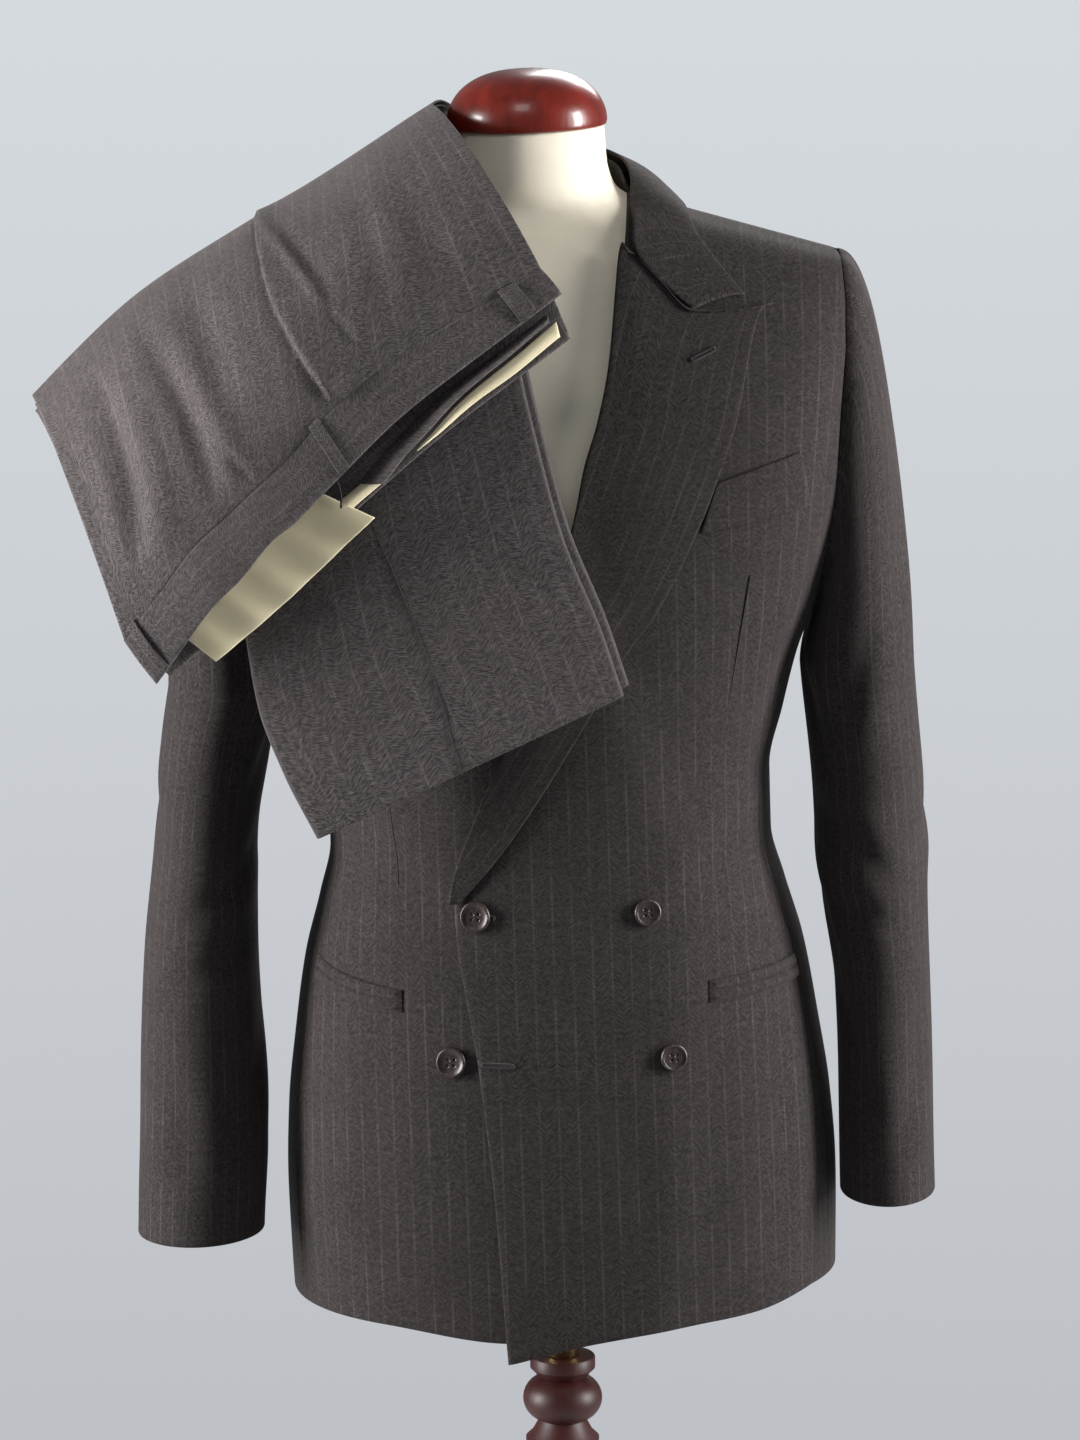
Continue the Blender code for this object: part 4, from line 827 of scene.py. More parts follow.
def add_front(side):
    """A front panel from its edge to the side seam. The wearer's left laps over the right."""
    rows, columns = 160, 104
    name = "jacket_front_left" if side > 0 else "jacket_front_right"
    levels = levels_between(HEM_LEVEL, PANEL_TOP, rows)[:, None]
    start = girth_across(levels, (over_edge if side > 0 else under_edge)(levels))
    end = side * front_side_girth(levels)
    girth = mix(start, end, np.linspace(0, 1, columns)[None] ** 0.92)
    hem = OVER_HEM if side > 0 else UNDER_HEM
    drawn = hem_level(levels, hem.read("level", side * BODY.point(levels, girth)[..., 0]))
    off = lap_out(drawn, BODY.point(drawn, girth)[..., 0]) if side > 0 else 0.0
    relief = creased(FRONT_CREASES[side], side * girth, drawn) + soft(girth, drawn, 0.21, 0.0006, 3.1 + side)
    held = ease(np.minimum(drawn - drawn[:1], 0.02) / 0.02) * ease((1.44 - drawn) / 0.05)
    edge = ease(np.abs(girth - start) / 0.02)
    points = BODY.surface(drawn, girth, off + relief * mix(0.35, 1.0, held * edge))
    maps = pair(girth, drawn)
    return cloth(name, points, maps, CLOTH, SUITING, (name,))


def add_side(side):
    """The underarm panel, up to the armhole's lower curve."""
    name = "jacket_side_left" if side > 0 else "jacket_side_right"
    rows, columns = 120, 40
    share = np.linspace(0, 1, columns)[None]
    depth = mix(SIDE_SEAM_FRONT + SEAM / 2, SIDE_SEAM_BACK - SEAM / 2, share)
    levels = mix(HEM_LEVEL, armhole_bottom(depth), np.linspace(0, 1, rows)[:, None])
    girth = side * girth_deep(levels, depth + 0 * levels)
    hem = (OVER_HEM if side > 0 else UNDER_HEM).read("level", 0.160)
    drawn = hem_level(levels, mix(hem, BACK_HEM, ease(share)))
    inset = ease(np.minimum(share, 1 - share) / 0.25)
    creases = [(0.240, 1.150, 0.275, 1.020, 0.011, 0.0014), (0.280, 0.980, 0.262, 0.820, 0.013, 0.0012),
               (0.255, 1.080, 0.300, 1.045, 0.009, 0.0012)]
    relief = (creased(creases, side * girth, drawn) + soft(girth, drawn, 0.17, 0.0005, 5.0 + side)) * inset
    points = BODY.surface(drawn, girth, relief)
    return cloth(name, points, pair(girth, drawn), CLOTH, SUITING, (name,))


def add_back(side):
    """Half of the back, from the side seam to the centre seam, and over the shoulder's ridge."""
    name = "jacket_back_left" if side > 0 else "jacket_back_right"
    rows, columns = 140, 92
    levels = np.concatenate([levels_between(HEM_LEVEL, BACK_NECK_LEVEL, rows - 30),
                             levels_between(BACK_NECK_LEVEL, PANEL_TOP, 31)[1:]])[:, None]
    rise = np.clip((levels - BACK_NECK_LEVEL) / (TOP_LEVEL - BACK_NECK_LEVEL), 0, 1)
    whole = BODY.read(BODY.length, levels)
    end = np.where(rise > 0, back_girth_across(levels, NECK_HALF_WIDTH * np.sqrt(rise)), whole) - SEAM / 2
    girth = mix(back_side_girth(levels), end, np.linspace(0, 1, columns)[None])
    drawn = hem_level(levels, BACK_HEM)
    inset = ease((end - girth) / 0.03)
    relief = creased(BACK_CREASES[side], girth, drawn) + soft(girth, drawn, 0.24, 0.0007, 8.0 + side)
    relief *= inset
    points = BODY.surface(drawn, side * girth, relief * ease((1.44 - drawn) / 0.06))
    maps = pair(side * (whole - girth), drawn)
    return cloth(name, points, maps, CLOTH, SUITING, (name,))


def sleeve_grid(side, around=112, head_rows=36, arm_rows=84):
    """Rings of points from the armhole's loop over the sleeve head down to the cuff."""
    course = SLEEVES[side]
    turn = 2 * np.pi * np.arange(around) / around
    sine_of, cosine_of = np.sin(turn), np.cos(turn)

    def ring(height):
        outer, inner = course.read("outer", height), course.read("inner", height)
        centre, half = (outer + inner) / 2, (outer - inner) / 2
        depth, half_depth = course.read("depth", height), course.read("half_depth", height)
        across = side * (centre + half * sine_of)
        return np.stack([across, depth - half_depth * cosine_of, height + 0 * turn], -1)

    rise = np.copysign(np.abs(sine_of) ** SLEEVE_HEAD_FULLNESS, sine_of)
    level = ARMHOLE_LEVEL + ARMHOLE_RISE * rise * 0.9995
    front, back = armhole_depth(level)
    girth = girth_deep(level, np.where(cosine_of > 0, front, back))
    start = BODY.surface(level, side * girth) + np.array([side * 2 * SEAM, 0, 0])
    end = ring(course.at[-1])
    high = (1 + sine_of) / 2
    zero = 0 * turn
    leave = np.stack([side * mix(0.012, 0.076, high), -0.014 * cosine_of, 0.004 * high - 0.006], -1)
    arrive = np.stack([side * 0.008 * high, zero, -1.25 * np.abs(start[:, 2] - end[:, 2]) - 0.01], -1)
    rows = []
    for t in (np.arange(head_rows) / head_rows) ** 1.4:
        rows.append(start * ((1 + 2 * t) * (1 - t) ** 2) + leave * (t * (1 - t) ** 2)
                    + end * (t * t * (3 - 2 * t)) + arrive * (t * t * (t - 1)))
    rows += [ring(height) for height in np.linspace(course.at[-1], course.at[0], arm_rows)]
    return np.array(rows), turn


def add_sleeve(side):
    """A sleeve, open at the armhole and at the cuff, with light puckers where its head is eased in."""
    name = "sleeve_left" if side > 0 else "sleeve_right"
    points, turn = sleeve_grid(side)
    arc = np.where(turn > np.pi, turn - 2 * np.pi, turn)[None] * SLEEVE_RADIUS * side
    height = points[..., 2]
    cuff = SLEEVES[side].at[0]
    relief = creased(SLEEVE_CREASES[side], arc + 0 * height, height)
    relief += soft(arc + 0 * height, height, 0.15, 0.0010, 11.0 + side)
    run = np.arange(len(points))[:, None]
    relief *= ease((height - cuff) / 0.05) * ease(run / 16)
    puckers = 0.0004 * np.sin(turn * 22 + side)[None] * np.clip(1 - run / 9, 0, 1) * (np.sin(turn)[None] > 0)
    points = points + outwards(points, wrap=True) * (relief + puckers)[..., None]
    share = np.linspace(-0.5, 0.5, len(turn) + 1)
    maps = pair(share[None] * SLEEVE_GIRTH, run_of(points.mean(axis=1))[:, None])
    return cloth(name, points, maps, CLOTH, SUITING, (name,), wrap=True)


def lapel_point(side, t, q, lift):
    """Points of a lapel. t runs up its edge, and q from the roll line to the edge."""
    low = 1.024 if side > 0 else 1.146
    outline = mix(low, 1.3914, t)
    tip = LAPEL_EDGE.read("across", outline)
    gorge = ease((t - 0.80) / 0.20)
    root_level = mix(outline, 1.4300, gorge)
    root = over_edge(root_level) - 0.0015
    if side < 0:
        tip, root = 2 * CENTRE_FRONT - tip, under_edge(root_level)
        root = np.minimum(root + 0.0015, over_edge(root_level) - 0.0035)
    across = mix(root, tip, q)
    line_height = GORGE.read("level", side * (across - CENTRE_FRONT) + CENTRE_FRONT)
    height = mix(mix(root_level, outline, q), line_height, gorge)
    base = (lap_out(height, across) if side > 0 else 0.0) + LIE + CLOTH
    return front_at(across, height, base + 0.0018 * (1 - q) ** 2 + lift)


def add_lapel(side):
    """A lapel turned back on its front, slightly full in the middle."""
    name = "lapel_left" if side > 0 else "lapel_right"
    t, q = np.linspace(0, 1, 110)[:, None], np.linspace(0, 1, 44)[None]
    belly = 0.0008 * np.sin(np.pi * q) ** 2 * np.sin(np.pi * np.clip(t * 1.1, 0, 1))
    points = lapel_point(side, t, q, belly + 0.0003 * np.sin(t * 9 + side))
    width = np.linalg.norm(points[:, -1] - points[:, 0], axis=-1)[:, None]
    maps = pair((1 - q) * width + 0.004, run_of(points[:, -1])[:, None])
    return cloth(name, points, maps, CLOTH, SUITING, (name,))


def through(points, count):
    """Count points on a smooth curve through the given ones."""
    spans = len(points) - 1
    ends = np.concatenate([[2 * points[0] - points[1]], points, [2 * points[-1] - points[-2]]])
    at = np.arange(count) * spans / (count - 1)
    i = np.minimum(at.astype(int), spans - 1)
    t = (at - i)[:, None]
    a, b, c, d = (ends[i + k] for k in range(4))
    return 0.5 * (2 * b + (c - a) * t + (2 * a - 5 * b + 4 * c - d) * t**2 + (3 * b - a - 3 * c + d) * t**3)


def mirrored(points):
    """A curve from the left's front end round the back to the right's."""
    return np.concatenate([points, points[-2::-1] * np.array([-1, 1, 1])])


def add_collar():
    """The fall, which rolls over the stand and lies on the shoulders, and the stand round the neck."""
    lie = LIE + CLOTH
    front, back = np.array(COLLAR_FRONT), np.array(COLLAR_BACK)
    rolls = np.concatenate([front_at(front[:, 0], front[:, 1], lie + 0.0016), back[:, :3]])
    edges = front_at(front[:, 2], front[:, 3], lie)
    edges = np.concatenate([edges, over_at(back[:, 3], back[:, 4], lie + 0.001)])
    middles = (rolls + edges) / 2
    middles[len(front):, 2] += 0.006
    middles[:len(front)] = front_at(middles[:len(front), 0], middles[:len(front), 2], lie + 0.0008)
    a, b, c = (through(mirrored(points), 150)[None] for points in (rolls, middles, edges))
    t = np.linspace(0, 1, 26)[:, None, None]
    points = a * (1 - t) * (1 - 2 * t) + b * 4 * t * (1 - t) + c * t * (2 * t - 1)
    across = np.linalg.norm(points[-1] - points[0], axis=-1)[None]
    maps = pair(run_of(points[13])[None], (1 - t[..., 0]) * across)
    cloth("collar_fall", points, maps, CLOTH, SUITING, ("collar_fall",),
          away=(0.0, 0.0, 1.3))

    back = back[1:]
    flat = unit(back[:, :2])
    tops = np.concatenate([back[:, :2] - 0.0030 * flat, back[:, 2:3] - 0.0052], 1)
    feet = over_at(back[:, 0] + 0.0005, back[:, 1] + 0.002, LIE)
    tops, feet = through(mirrored(tops), 90)[None], through(mirrored(feet), 90)[None]
    share = np.linspace(0, 1, 9)[:, None, None]
    points = mix(feet, tops, share)
    away = unit(points * np.array([1, 1, 0]))
    maps = pair(run_of(points[4])[None], share[..., 0] * STAND_WIDTH)
    cloth("collar_stand", points, maps, CLOTH, SUITING, ("collar_stand",),
          away=(0.0, 0.0, 1.45), inner=points - away * CLOTH)


def add_pockets():
    """The breast welt, and on each side the two lips of a hip pocket."""
    t, share = np.linspace(0, 1, 40)[None], np.linspace(0, 1, 14)[:, None]
    low = mix(np.array([0.1005, 1.2568]), np.array([0.1684, 1.2669]), t[..., None])
    high = mix(np.array([0.1110, 1.2860]), np.array([0.1636, 1.3005]), t[..., None])
    place = mix(low, high, share[..., None])
    off = SEAM + lap_out(place[..., 1], place[..., 0])
    full = 0.0018 + 0.0002 * np.sin(np.pi * share)
    points = front_at(place[..., 0], place[..., 1], off + full)
    inner = front_at(place[..., 0], place[..., 1], off)
    maps = place + np.array([0.0035, 0.0])
    cloth("breast_welt", points, maps, 0.0018, SUITING, ("breast_welt",),
          inner=inner)
    offset = np.linspace(-POCKET_HALF, POCKET_HALF, 36)[:, None]
    lips = 0.0006 + 0.0013 * np.abs(np.sin(np.pi * offset / POCKET_HALF)) ** 0.6
    lips = lips - 0.00045 * np.exp(-((offset / 0.0006) ** 2))
    t = np.linspace(0, 1, 70)[None]
    lips = 0.0003 + lips * ease(np.minimum(t, 1 - t) / 0.05)
    for side in (1, -1):
        name = "hip_pocket_left" if side > 0 else "hip_pocket_right"
        level = POCKET_LEVEL + (0.0015 if side > 0 else 0.0120) * t**1.5 + offset
        girth = mix(girth_across(level, POCKET_FRONT), girth_deep(level, POCKET_SIDE), t)
        base = SEAM + (lap_out(level, BODY.point(level, girth)[..., 0]) if side > 0 else 0.0)
        points = BODY.surface(level, side * girth, base + lips)
        inner = BODY.surface(level, side * girth, base)
        cloth(name, points, pair(girth, level), 0.0015, SUITING, (name,),
              inner=inner)


def station(kind, at):
    """Points of one of the trousers' lines: the waist seam, the band's edge, the ridge or the knee fold."""
    return np.stack([STATIONS.read(f"{kind}_{axis}", at) for axis in "xyz"], -1)


def far_edge(at):
    """Points of the far waistband's edge, which shows below the near one's."""
    return np.stack([FAR_EDGE.read(axis, at) for axis in "xyz"], -1)


def trouser_path(at, along):
    """The near side's surface. along is 0 at the waist seam, 1 on the shoulder, 2 at the knee fold."""
    at, along = np.broadcast_arrays(np.asarray(at, float), np.asarray(along, float))
    seam, ridge, fold = (station(kind, at) for kind in ("seam", "ridge", "fold"))
    upper = along <= 1
    end = np.where(upper[..., None], seam, fold)
    turn = np.abs(1 - along) * math.pi / 2
    fullness, swing = np.where(upper, 1.0, 0.72), np.where(upper, 0.35, 0.10)
    down = 1 - np.clip(np.cos(turn), 0, 1) ** fullness
    forward = np.sin(turn) ** fullness
    shares = np.stack([mix(down, forward, swing), forward, down], -1)
    return mix(ridge, end, shares)


TROUSER_CREASES = [
    (-0.197, 1.329, -0.170, 1.300, 0.0035, 0.0014), (-0.127, 1.410, -0.108, 1.386, 0.0030, 0.0012),
    (-0.075, 1.470, -0.045, 1.400, 0.0110, 0.0016), (-0.243, 1.392, -0.197, 1.302, 0.0080, 0.0042),
    (-0.110, 1.475, -0.090, 1.400, 0.0090, 0.0012), (-0.272, 1.360, -0.247, 1.262, 0.0085, 0.0058),
    (-0.215, 1.420, -0.190, 1.350, 0.0100, 0.0018), (-0.296, 1.325, -0.268, 1.245, 0.0080, 0.0018),
    (-0.040, 1.440, -0.012, 1.428, 0.0060, 0.0012), (-0.165, 1.450, -0.125, 1.408, 0.0035, -0.0022),
]
PLEAT = [(-0.173, 1.466), (-0.171, 1.452), (-0.161, 1.417), (-0.145, 1.387), (-0.118, 1.347)]
HIDDEN_CREASES = [
    (0.20, 1.25, 0.30, 1.80, 0.035, 0.0020), (0.62, 1.15, 0.55, 1.75, 0.040, 0.0024),
    (0.85, 1.35, 0.80, 1.90, 0.030, 0.0016),
]
PLEAT_HEIGHT = 0.0085
TROUSER_AWAY = (-0.10, 0.02, 1.15)


def pleated(path, x, z, height):
    """Relief of a pleat: the cloth to the right of its line lies over the cloth to the left."""
    nearest, side = np.full(x.shape, 9.0), np.zeros(x.shape)
    for (x0, z0), (x1, z1) in zip(path, path[1:]):
        run = np.array([x1 - x0, z1 - z0])
        t = np.clip(((x - x0) * run[0] + (z - z0) * run[1]) / run.dot(run), 0, 1)
        away = np.hypot(x - x0 - t * run[0], z - z0 - t * run[1])
        closer = away < nearest
        nearest = np.where(closer, away, nearest)
        side = np.where(closer, -(run[0] * (z - z0) - run[1] * (x - x0)), side)
    signed = np.where(side * (path[0][1] - path[-1][1]) > 0, -nearest, nearest)
    fade = ease((z - path[-1][1] + 0.002) / 0.02) * ease((path[0][1] + 0.012 - z) / 0.03)
    over = ease((signed + 0.0010) / 0.0020) * np.exp(-np.clip(signed, 0, None) / 0.022)
    under = -0.35 * np.exp(-np.abs(signed + 0.0015) / 0.005)
    return height * fade * (over + under)


def near_side(at, along):
    """The near side with its pleat and its soft creases, in front and behind."""
    at, along = np.broadcast_arrays(at, along)
    points = trouser_path(at, along)
    shown = ease((1.10 - along) / 0.2)
    relief = creased(TROUSER_CREASES, points[..., 0], points[..., 2]) * shown
    relief += pleated(line(PLEAT, 25), points[..., 0], points[..., 2], PLEAT_HEIGHT) * shown
    relief += creased(HIDDEN_CREASES, at, along) * (1 - shown)
    relief += soft(at * 0.35, along * 0.25, 0.16, 0.0008, 2.4)
    sides = ease(np.minimum(at, 1 - at) / 0.06)
    ends = ease(along / 0.10) * ease((2 - along) / 0.10)
    return points + outwards(points, TROUSER_AWAY) * (relief * sides * ends)[..., None]


def add_trousers():
    """The bundle over the shoulder: its near side, the layers under it, its band, curtain and loops."""
    at, along = np.linspace(0, 1, 170)[None], np.linspace(0, 2, 190)[:, None]
    grid = trouser_path(at, along)
    normals = outwards(grid, TROUSER_AWAY)
    maps = pair(at * SEAT_WIDTH, run_of(grid[:, 85])[:, None])
    cloth("trousers_near_side", near_side(at, along), maps, CLOTH, LIT_TROUSER_CLOTH,
          ("trousers_near_side",), away=TROUSER_AWAY)

    front = 1 - ease((along - 0.25) / 0.65)
    core = grid - normals * (CLOTH + SEAM + STATIONS.read("hollow", at) * front)[..., None]
    fold, waist = ease((along - 1.1) / 0.7), 1 - ease((along - 0.1) / 0.75)
    thick = mix(mix(STATIONS.read("bundle", at), 0.014, fold), 0.006, waist)
    straight = unit(normals * np.array([0, 1, 1]))
    for k, share in enumerate((0.0, 0.5, 1.0)):
        ripple = 0.0009 * np.sin(at * (9 + 4 * k) + along * (5 - k) + k) * np.sin(np.pi * at)
        depth = share * (thick - CLOTH) + ripple * (share == 0.5)
        layer = core - straight * depth[..., None]
        cloth(f"trouser_layer_{k + 1}", layer[::2, ::2], maps[::2, ::2], CLOTH, LIT_TROUSER_CLOTH,
              ("trousers_inner_layers",),
              away=TROUSER_AWAY)
    add_bands(at[0], grid[0], normals[0], (core - straight * (thick / 2)[..., None])[0])
    add_curtain()
    strip("fly_facing", (0.585, 0.975), (0.05, 0.20, 0.36, 0.50, 0.58), (0.46, 0.56, 0.66, 0.72, 0.74),
          0.0052, 0.0016, LIT_TROUSER_CLOTH, 0.0024)
    strip("fly_curtain", (0.69, 0.985), (0.07, 0.10, 0.12, 0.16), (0.10, 0.26, 0.38, 0.46),
          0.0034, 0.0011, CURTAIN, 0.0010)
    strip("inner_curtain", (0.50, 0.60), (0.08, 0.08), (0.46, 0.40),
          0.0034, 0.0011, CURTAIN, 0.0012)
    loop = far_edge(np.linspace(0.487, 0.475, 9)) + np.array([0, -0.0062, 0])
    loop[:, 2] += np.linspace(0.004, 0.026, 9)
    loop[:, 0] += 0.0015 * np.sin(np.linspace(0, np.pi, 9)) - 0.006
    tube("hanger_thread", loop, 0.0007, THREAD)
    for k, place in enumerate((0.035, 0.63, 0.955)):
        add_belt_loop(f"belt_loop_{k + 1}", place, normals[0][int(place * 169)])
    add_fold_shade_lines()


def add_bands(ats, near, normals, middle):
    """The near waistband, slightly domed, and the far one, which hangs from the middle of the bundle."""
    seam = near + unit(np.array([0.10, 0, -0.16])) * SEAM
    edge = station("edge", ats)
    edge[:, 2] += 0.0028 * np.exp(-((ats - 0.42) / 0.05) ** 2) - 0.0024 * np.exp(-((ats - 0.30) / 0.06) ** 2)
    share = np.linspace(0, 1, 22)[:, None, None]
    band = mix(seam, edge, share)
    flat = normals[None] + 0 * band
    rise = 0.0007 * np.sin(np.pi * share) + 0.0003 * np.sin(ats * 31)[None, :, None]
    maps = pair(share[..., 0] * WAIST_WIDTH, ats[None] * WAIST_LENGTH)
    cloth("waistband_near", band + flat * rise, maps, 0.0026, LIT_TROUSER_CLOTH,
          ("waistband_near",), away=TROUSER_AWAY,
          inner=band - flat * 0.0026)
    end = far_edge(ats)
    start = middle + unit(end - middle) * 0.0014
    cloth("waistband_far", mix(start, end, share), maps, 0.0024, LIT_TROUSER_CLOTH,
          ("waistband_far",), away=(-0.10, 0.05, 1.20))


def add_curtain():
    """The cream curtain, which hangs out over the far band's edge with its corner turned forward."""
    reach = np.linspace(CURTAIN_START, CURTAIN_END, 80)[None]
    low, high = far_edge(reach), station("seam", reach)
    high[..., 1] = low[..., 1]
    share = np.linspace(1, 0, 30)[:, None]
    curtain = low + unit(high - low) * mix(-0.012, 0.038, share)[..., None]
    wave = 0.0008 * np.sin(reach * 70) * (1 - share) + 0.0005 * np.sin(reach * 23 + share * 2)
    curtain[..., 1] -= 0.0030 + wave + 0.0045 * ease((reach - 0.28) / 0.22) * (1 - share) ** 1.5
    maps = pair((reach - CURTAIN_START) * 0.42, share * CURTAIN_WIDTH)
    cloth("waist_curtain", curtain, maps, 0.0011, CURTAIN, ("waist_curtain",),
          inner=curtain + np.array([0, 0.0011, 0]))


def strip(name, ends, lower, upper, forward, thickness, material, rolled):
    """A strip inside the waist. lower and upper are its edges, as shares of the way between the bands."""
    reach = np.linspace(*ends, 60)[None]
    share = np.linspace(0, 1, 14)[:, None]
    low, high = far_edge(reach), station("edge", reach)
    along = (reach - ends[0]) / (ends[1] - ends[0])
    first = np.interp(along, np.linspace(0, 1, len(lower)), lower)
    last = np.interp(along, np.linspace(0, 1, len(upper)), upper)
    points = mix(low, high, (mix(first, last, share) + 0.015 * np.sin(reach * 40))[..., None])
    points[..., 1] = low[..., 1] - forward - rolled * np.sin(np.pi * share) - 0.0006 * np.sin(reach * 29)
    cloth(name, points, pair(share * STRIP_WIDTH, reach * WAIST_LENGTH), thickness, material, (),
          inner=points + np.array([0, thickness, 0]))


def add_belt_loop(name, place, normal):
    """A belt loop, bowed off the band between its two ends."""
    wide = np.linspace(-1, 1, 12)[None] * 0.0105 + place
    run = np.linspace(-0.10, 1.02, 34)[:, None]
    low, high = station("seam", wide + 0 * run), station("edge", wide + 0 * run)
    bow = 0.0013 + 0.0019 * np.sin(np.pi * np.clip((run + 0.10) / 1.12, 0, 1)) + 0 * wide
    points = mix(low, high, run[..., None]) + normal * bow[..., None]
    cloth(name, points, pair(wide * WAIST_LENGTH, run * WAIST_WIDTH), 0.0012, LIT_TROUSER_CLOTH,
          (), away=TROUSER_AWAY)


def add_fold_shade_lines():
    """Dark thread lines along the dart and the pleat, drawn just under the near side's surface, so that they
    show in its folds as painted shade.
    """
    fine = trouser_path(np.linspace(0, 1, 700)[None], np.linspace(0, 1, 700)[:, None])
    under = (fine - outwards(fine, TROUSER_AWAY) * 0.0012).reshape(-1, 3)
    for name, path in (
        ("trouser_dart_shade", [(-0.197, 1.329), (-0.184, 1.315), (-0.170, 1.300)]),
        ("trouser_pleat_shade", [(-0.171, 1.458), (-0.161, 1.417), (-0.145, 1.387), (-0.118, 1.347)]),
    ):
        places = [under[np.argmin((fine[..., 0] - x) ** 2 + (fine[..., 2] - z) ** 2)]
                  for x, z in line(path, 24)]
        tube(f"{name}_thread", line(places[::4], 24), 0.0005, THREAD)


def leg_front(across, t, behind):
    """Depth of a leg's front, which falls back a little at both sides and at the top."""
    beyond = 0.55 * np.clip(-0.05 - across, 0, None) ** 2 + 0.9 * np.clip(across + 0.01, 0, None) ** 2
    return LEG_DEPTH + beyond + behind + LEG_TURN_BACK * ease((t - 0.6) / 0.4)


def add_leg(name, shift, behind):
    """A pressed leg: a flat tube, open at the hem."""
    t = np.linspace(0, 1, 90)[:, None]
    left, right = LEG.read("left", t) + shift[0], LEG.read("right", t) + shift[0]
    half = LEG_THICKNESS / 2
    straight, bend = np.linspace(0, 1, 56), np.linspace(-math.pi / 2, math.pi / 2, 11)[1:-1]
    share = np.concatenate([straight, 1 + 0 * bend, straight[::-1], 0 * bend])[None]
    beside = np.concatenate([0 * straight, np.cos(bend), 0 * straight, -np.cos(bend)])[None]
    ahead = np.concatenate([0 * straight - 1, np.sin(bend), 0 * straight + 1, -np.sin(bend)])[None]
    across = mix(left + half, right - half, share) + half * beside
    q = (across - left) / (right - left)
    height = mix(LEG.read("left_height", t), LEG.read("right_height", t), q) + shift[1]
    creases = [(-0.155, 1.215, -0.100, 1.180, 0.009, 0.0011), (-0.060, 1.250, 0.000, 1.235, 0.010, 0.0010),
               (-0.120, 1.140, -0.060, 1.165, 0.011, 0.0008)]
    bow = creased(creases, across - shift[0], height - shift[1])
    bow += soft(across, height, 0.11, 0.0005, 4.0 + behind)
    bow *= ease(np.minimum(q, 1 - q) / 0.12) * ease(t / 0.05)
    depth = leg_front(across, t, behind) + half + half * ahead - bow * (ahead < 0)
    points = np.stack([across, depth, height], -1)
    width = float((right - left)[0, 0])
    maps = pair(np.linspace(0, 2 * width, points.shape[1] + 1)[None], t * LEG_LENGTH)
    cloth(name, points, maps, 0.0014, LIT_TROUSER_CLOTH, (name,),
          wrap=True)


def add_leg_seam():
    """The near leg's side seam, slightly uneven."""
    path = line([(-0.106, 1.280), (-0.088, 1.234), (-0.072, 1.188), (-0.053, 1.114)], 70)
    t = np.clip((path[:, 1] - 1.10) / 0.22, 0, 1)
    depth = leg_front(path[:, 0], t, 0.0) - 0.0003
    points = np.stack([path[:, 0] + 0.0002 * np.sin(np.arange(70) * 0.5), depth, path[:, 1]], -1)
    tube("leg_side_seam", points, THREAD_RADIUS, THREAD)


def buttonhole(name, start, end, width, lift):
    """A worked buttonhole: a ring of ridged stitches between two places of the front."""
    turn = np.linspace(0, 2 * np.pi, 72, endpoint=False)
    start, end = np.array(start), np.array(end)
    length = np.linalg.norm(end - start)
    run = (end - start) / length
    along = np.copysign(np.abs(np.cos(turn)) ** 0.5, np.cos(turn)) * length / 2
    off = np.copysign(np.abs(np.sin(turn)) ** 0.7, np.sin(turn)) * width / 2
    place = (start + end) / 2 + along[:, None] * run + off[:, None] * np.array([-run[1], run[0]])
    base = lap_out(place[:, 1], place[:, 0]) + lift + 0.00012 * np.sin(turn * 30)
    tube(name, front_at(place[:, 0], place[:, 1], base), 0.0009, THREAD, closed=True)


def add_sewing():
    """The fronts' darts, the buttonholes and the back's centre seam."""
    path = line([(0.131, 1.227), (0.117, 1.150), (0.104, 1.074), (0.101, 1.017), (0.112, 0.985)], 90)
    level = path[:, 1]
    girth = girth_across(level, path[:, 0])
    lifted = lap_out(level, path[:, 0]) + creased(FRONT_CREASES[1], girth, level)
    tube("front_dart_left", BODY.surface(level, girth, lifted - 0.0001), THREAD_RADIUS, THREAD)
    path = path[:72]
    level, girth = path[:, 1], girth_across(path[:, 1], path[:, 0] - 0.004)
    lifted = creased(FRONT_CREASES[-1], girth, level)
    tube("front_dart_right", BODY.surface(level, -girth, lifted - 0.0002), 0.00040, THREAD)

    buttonhole("buttonhole_upper", (-0.0590, 1.0160), (-0.0360, 1.0150), 0.0021, 0.0003)
    buttonhole("buttonhole_lower", (-0.0470, 0.9225), (-0.0270, 0.9215), 0.0021, 0.0003)
    buttonhole("buttonhole_lapel", (0.0970, 1.3610), (0.1120, 1.3670), 0.0020, LIE + CLOTH + 0.0010)
    level = np.linspace(0.80, 1.43, 160)
    girth = BODY.read(BODY.length, level)
    tube("centre_back_seam", BODY.surface(level, girth - 0.0002, -0.0003), 0.0005, THREAD)


def lean_matrix():
    """The form's lean, for pieces that are made by operators."""
    pivot = Matrix.Translation(Vector(LEAN_PIVOT))
    return pivot @ Matrix.Rotation(-LEAN, 4, "Y") @ pivot.inverted()


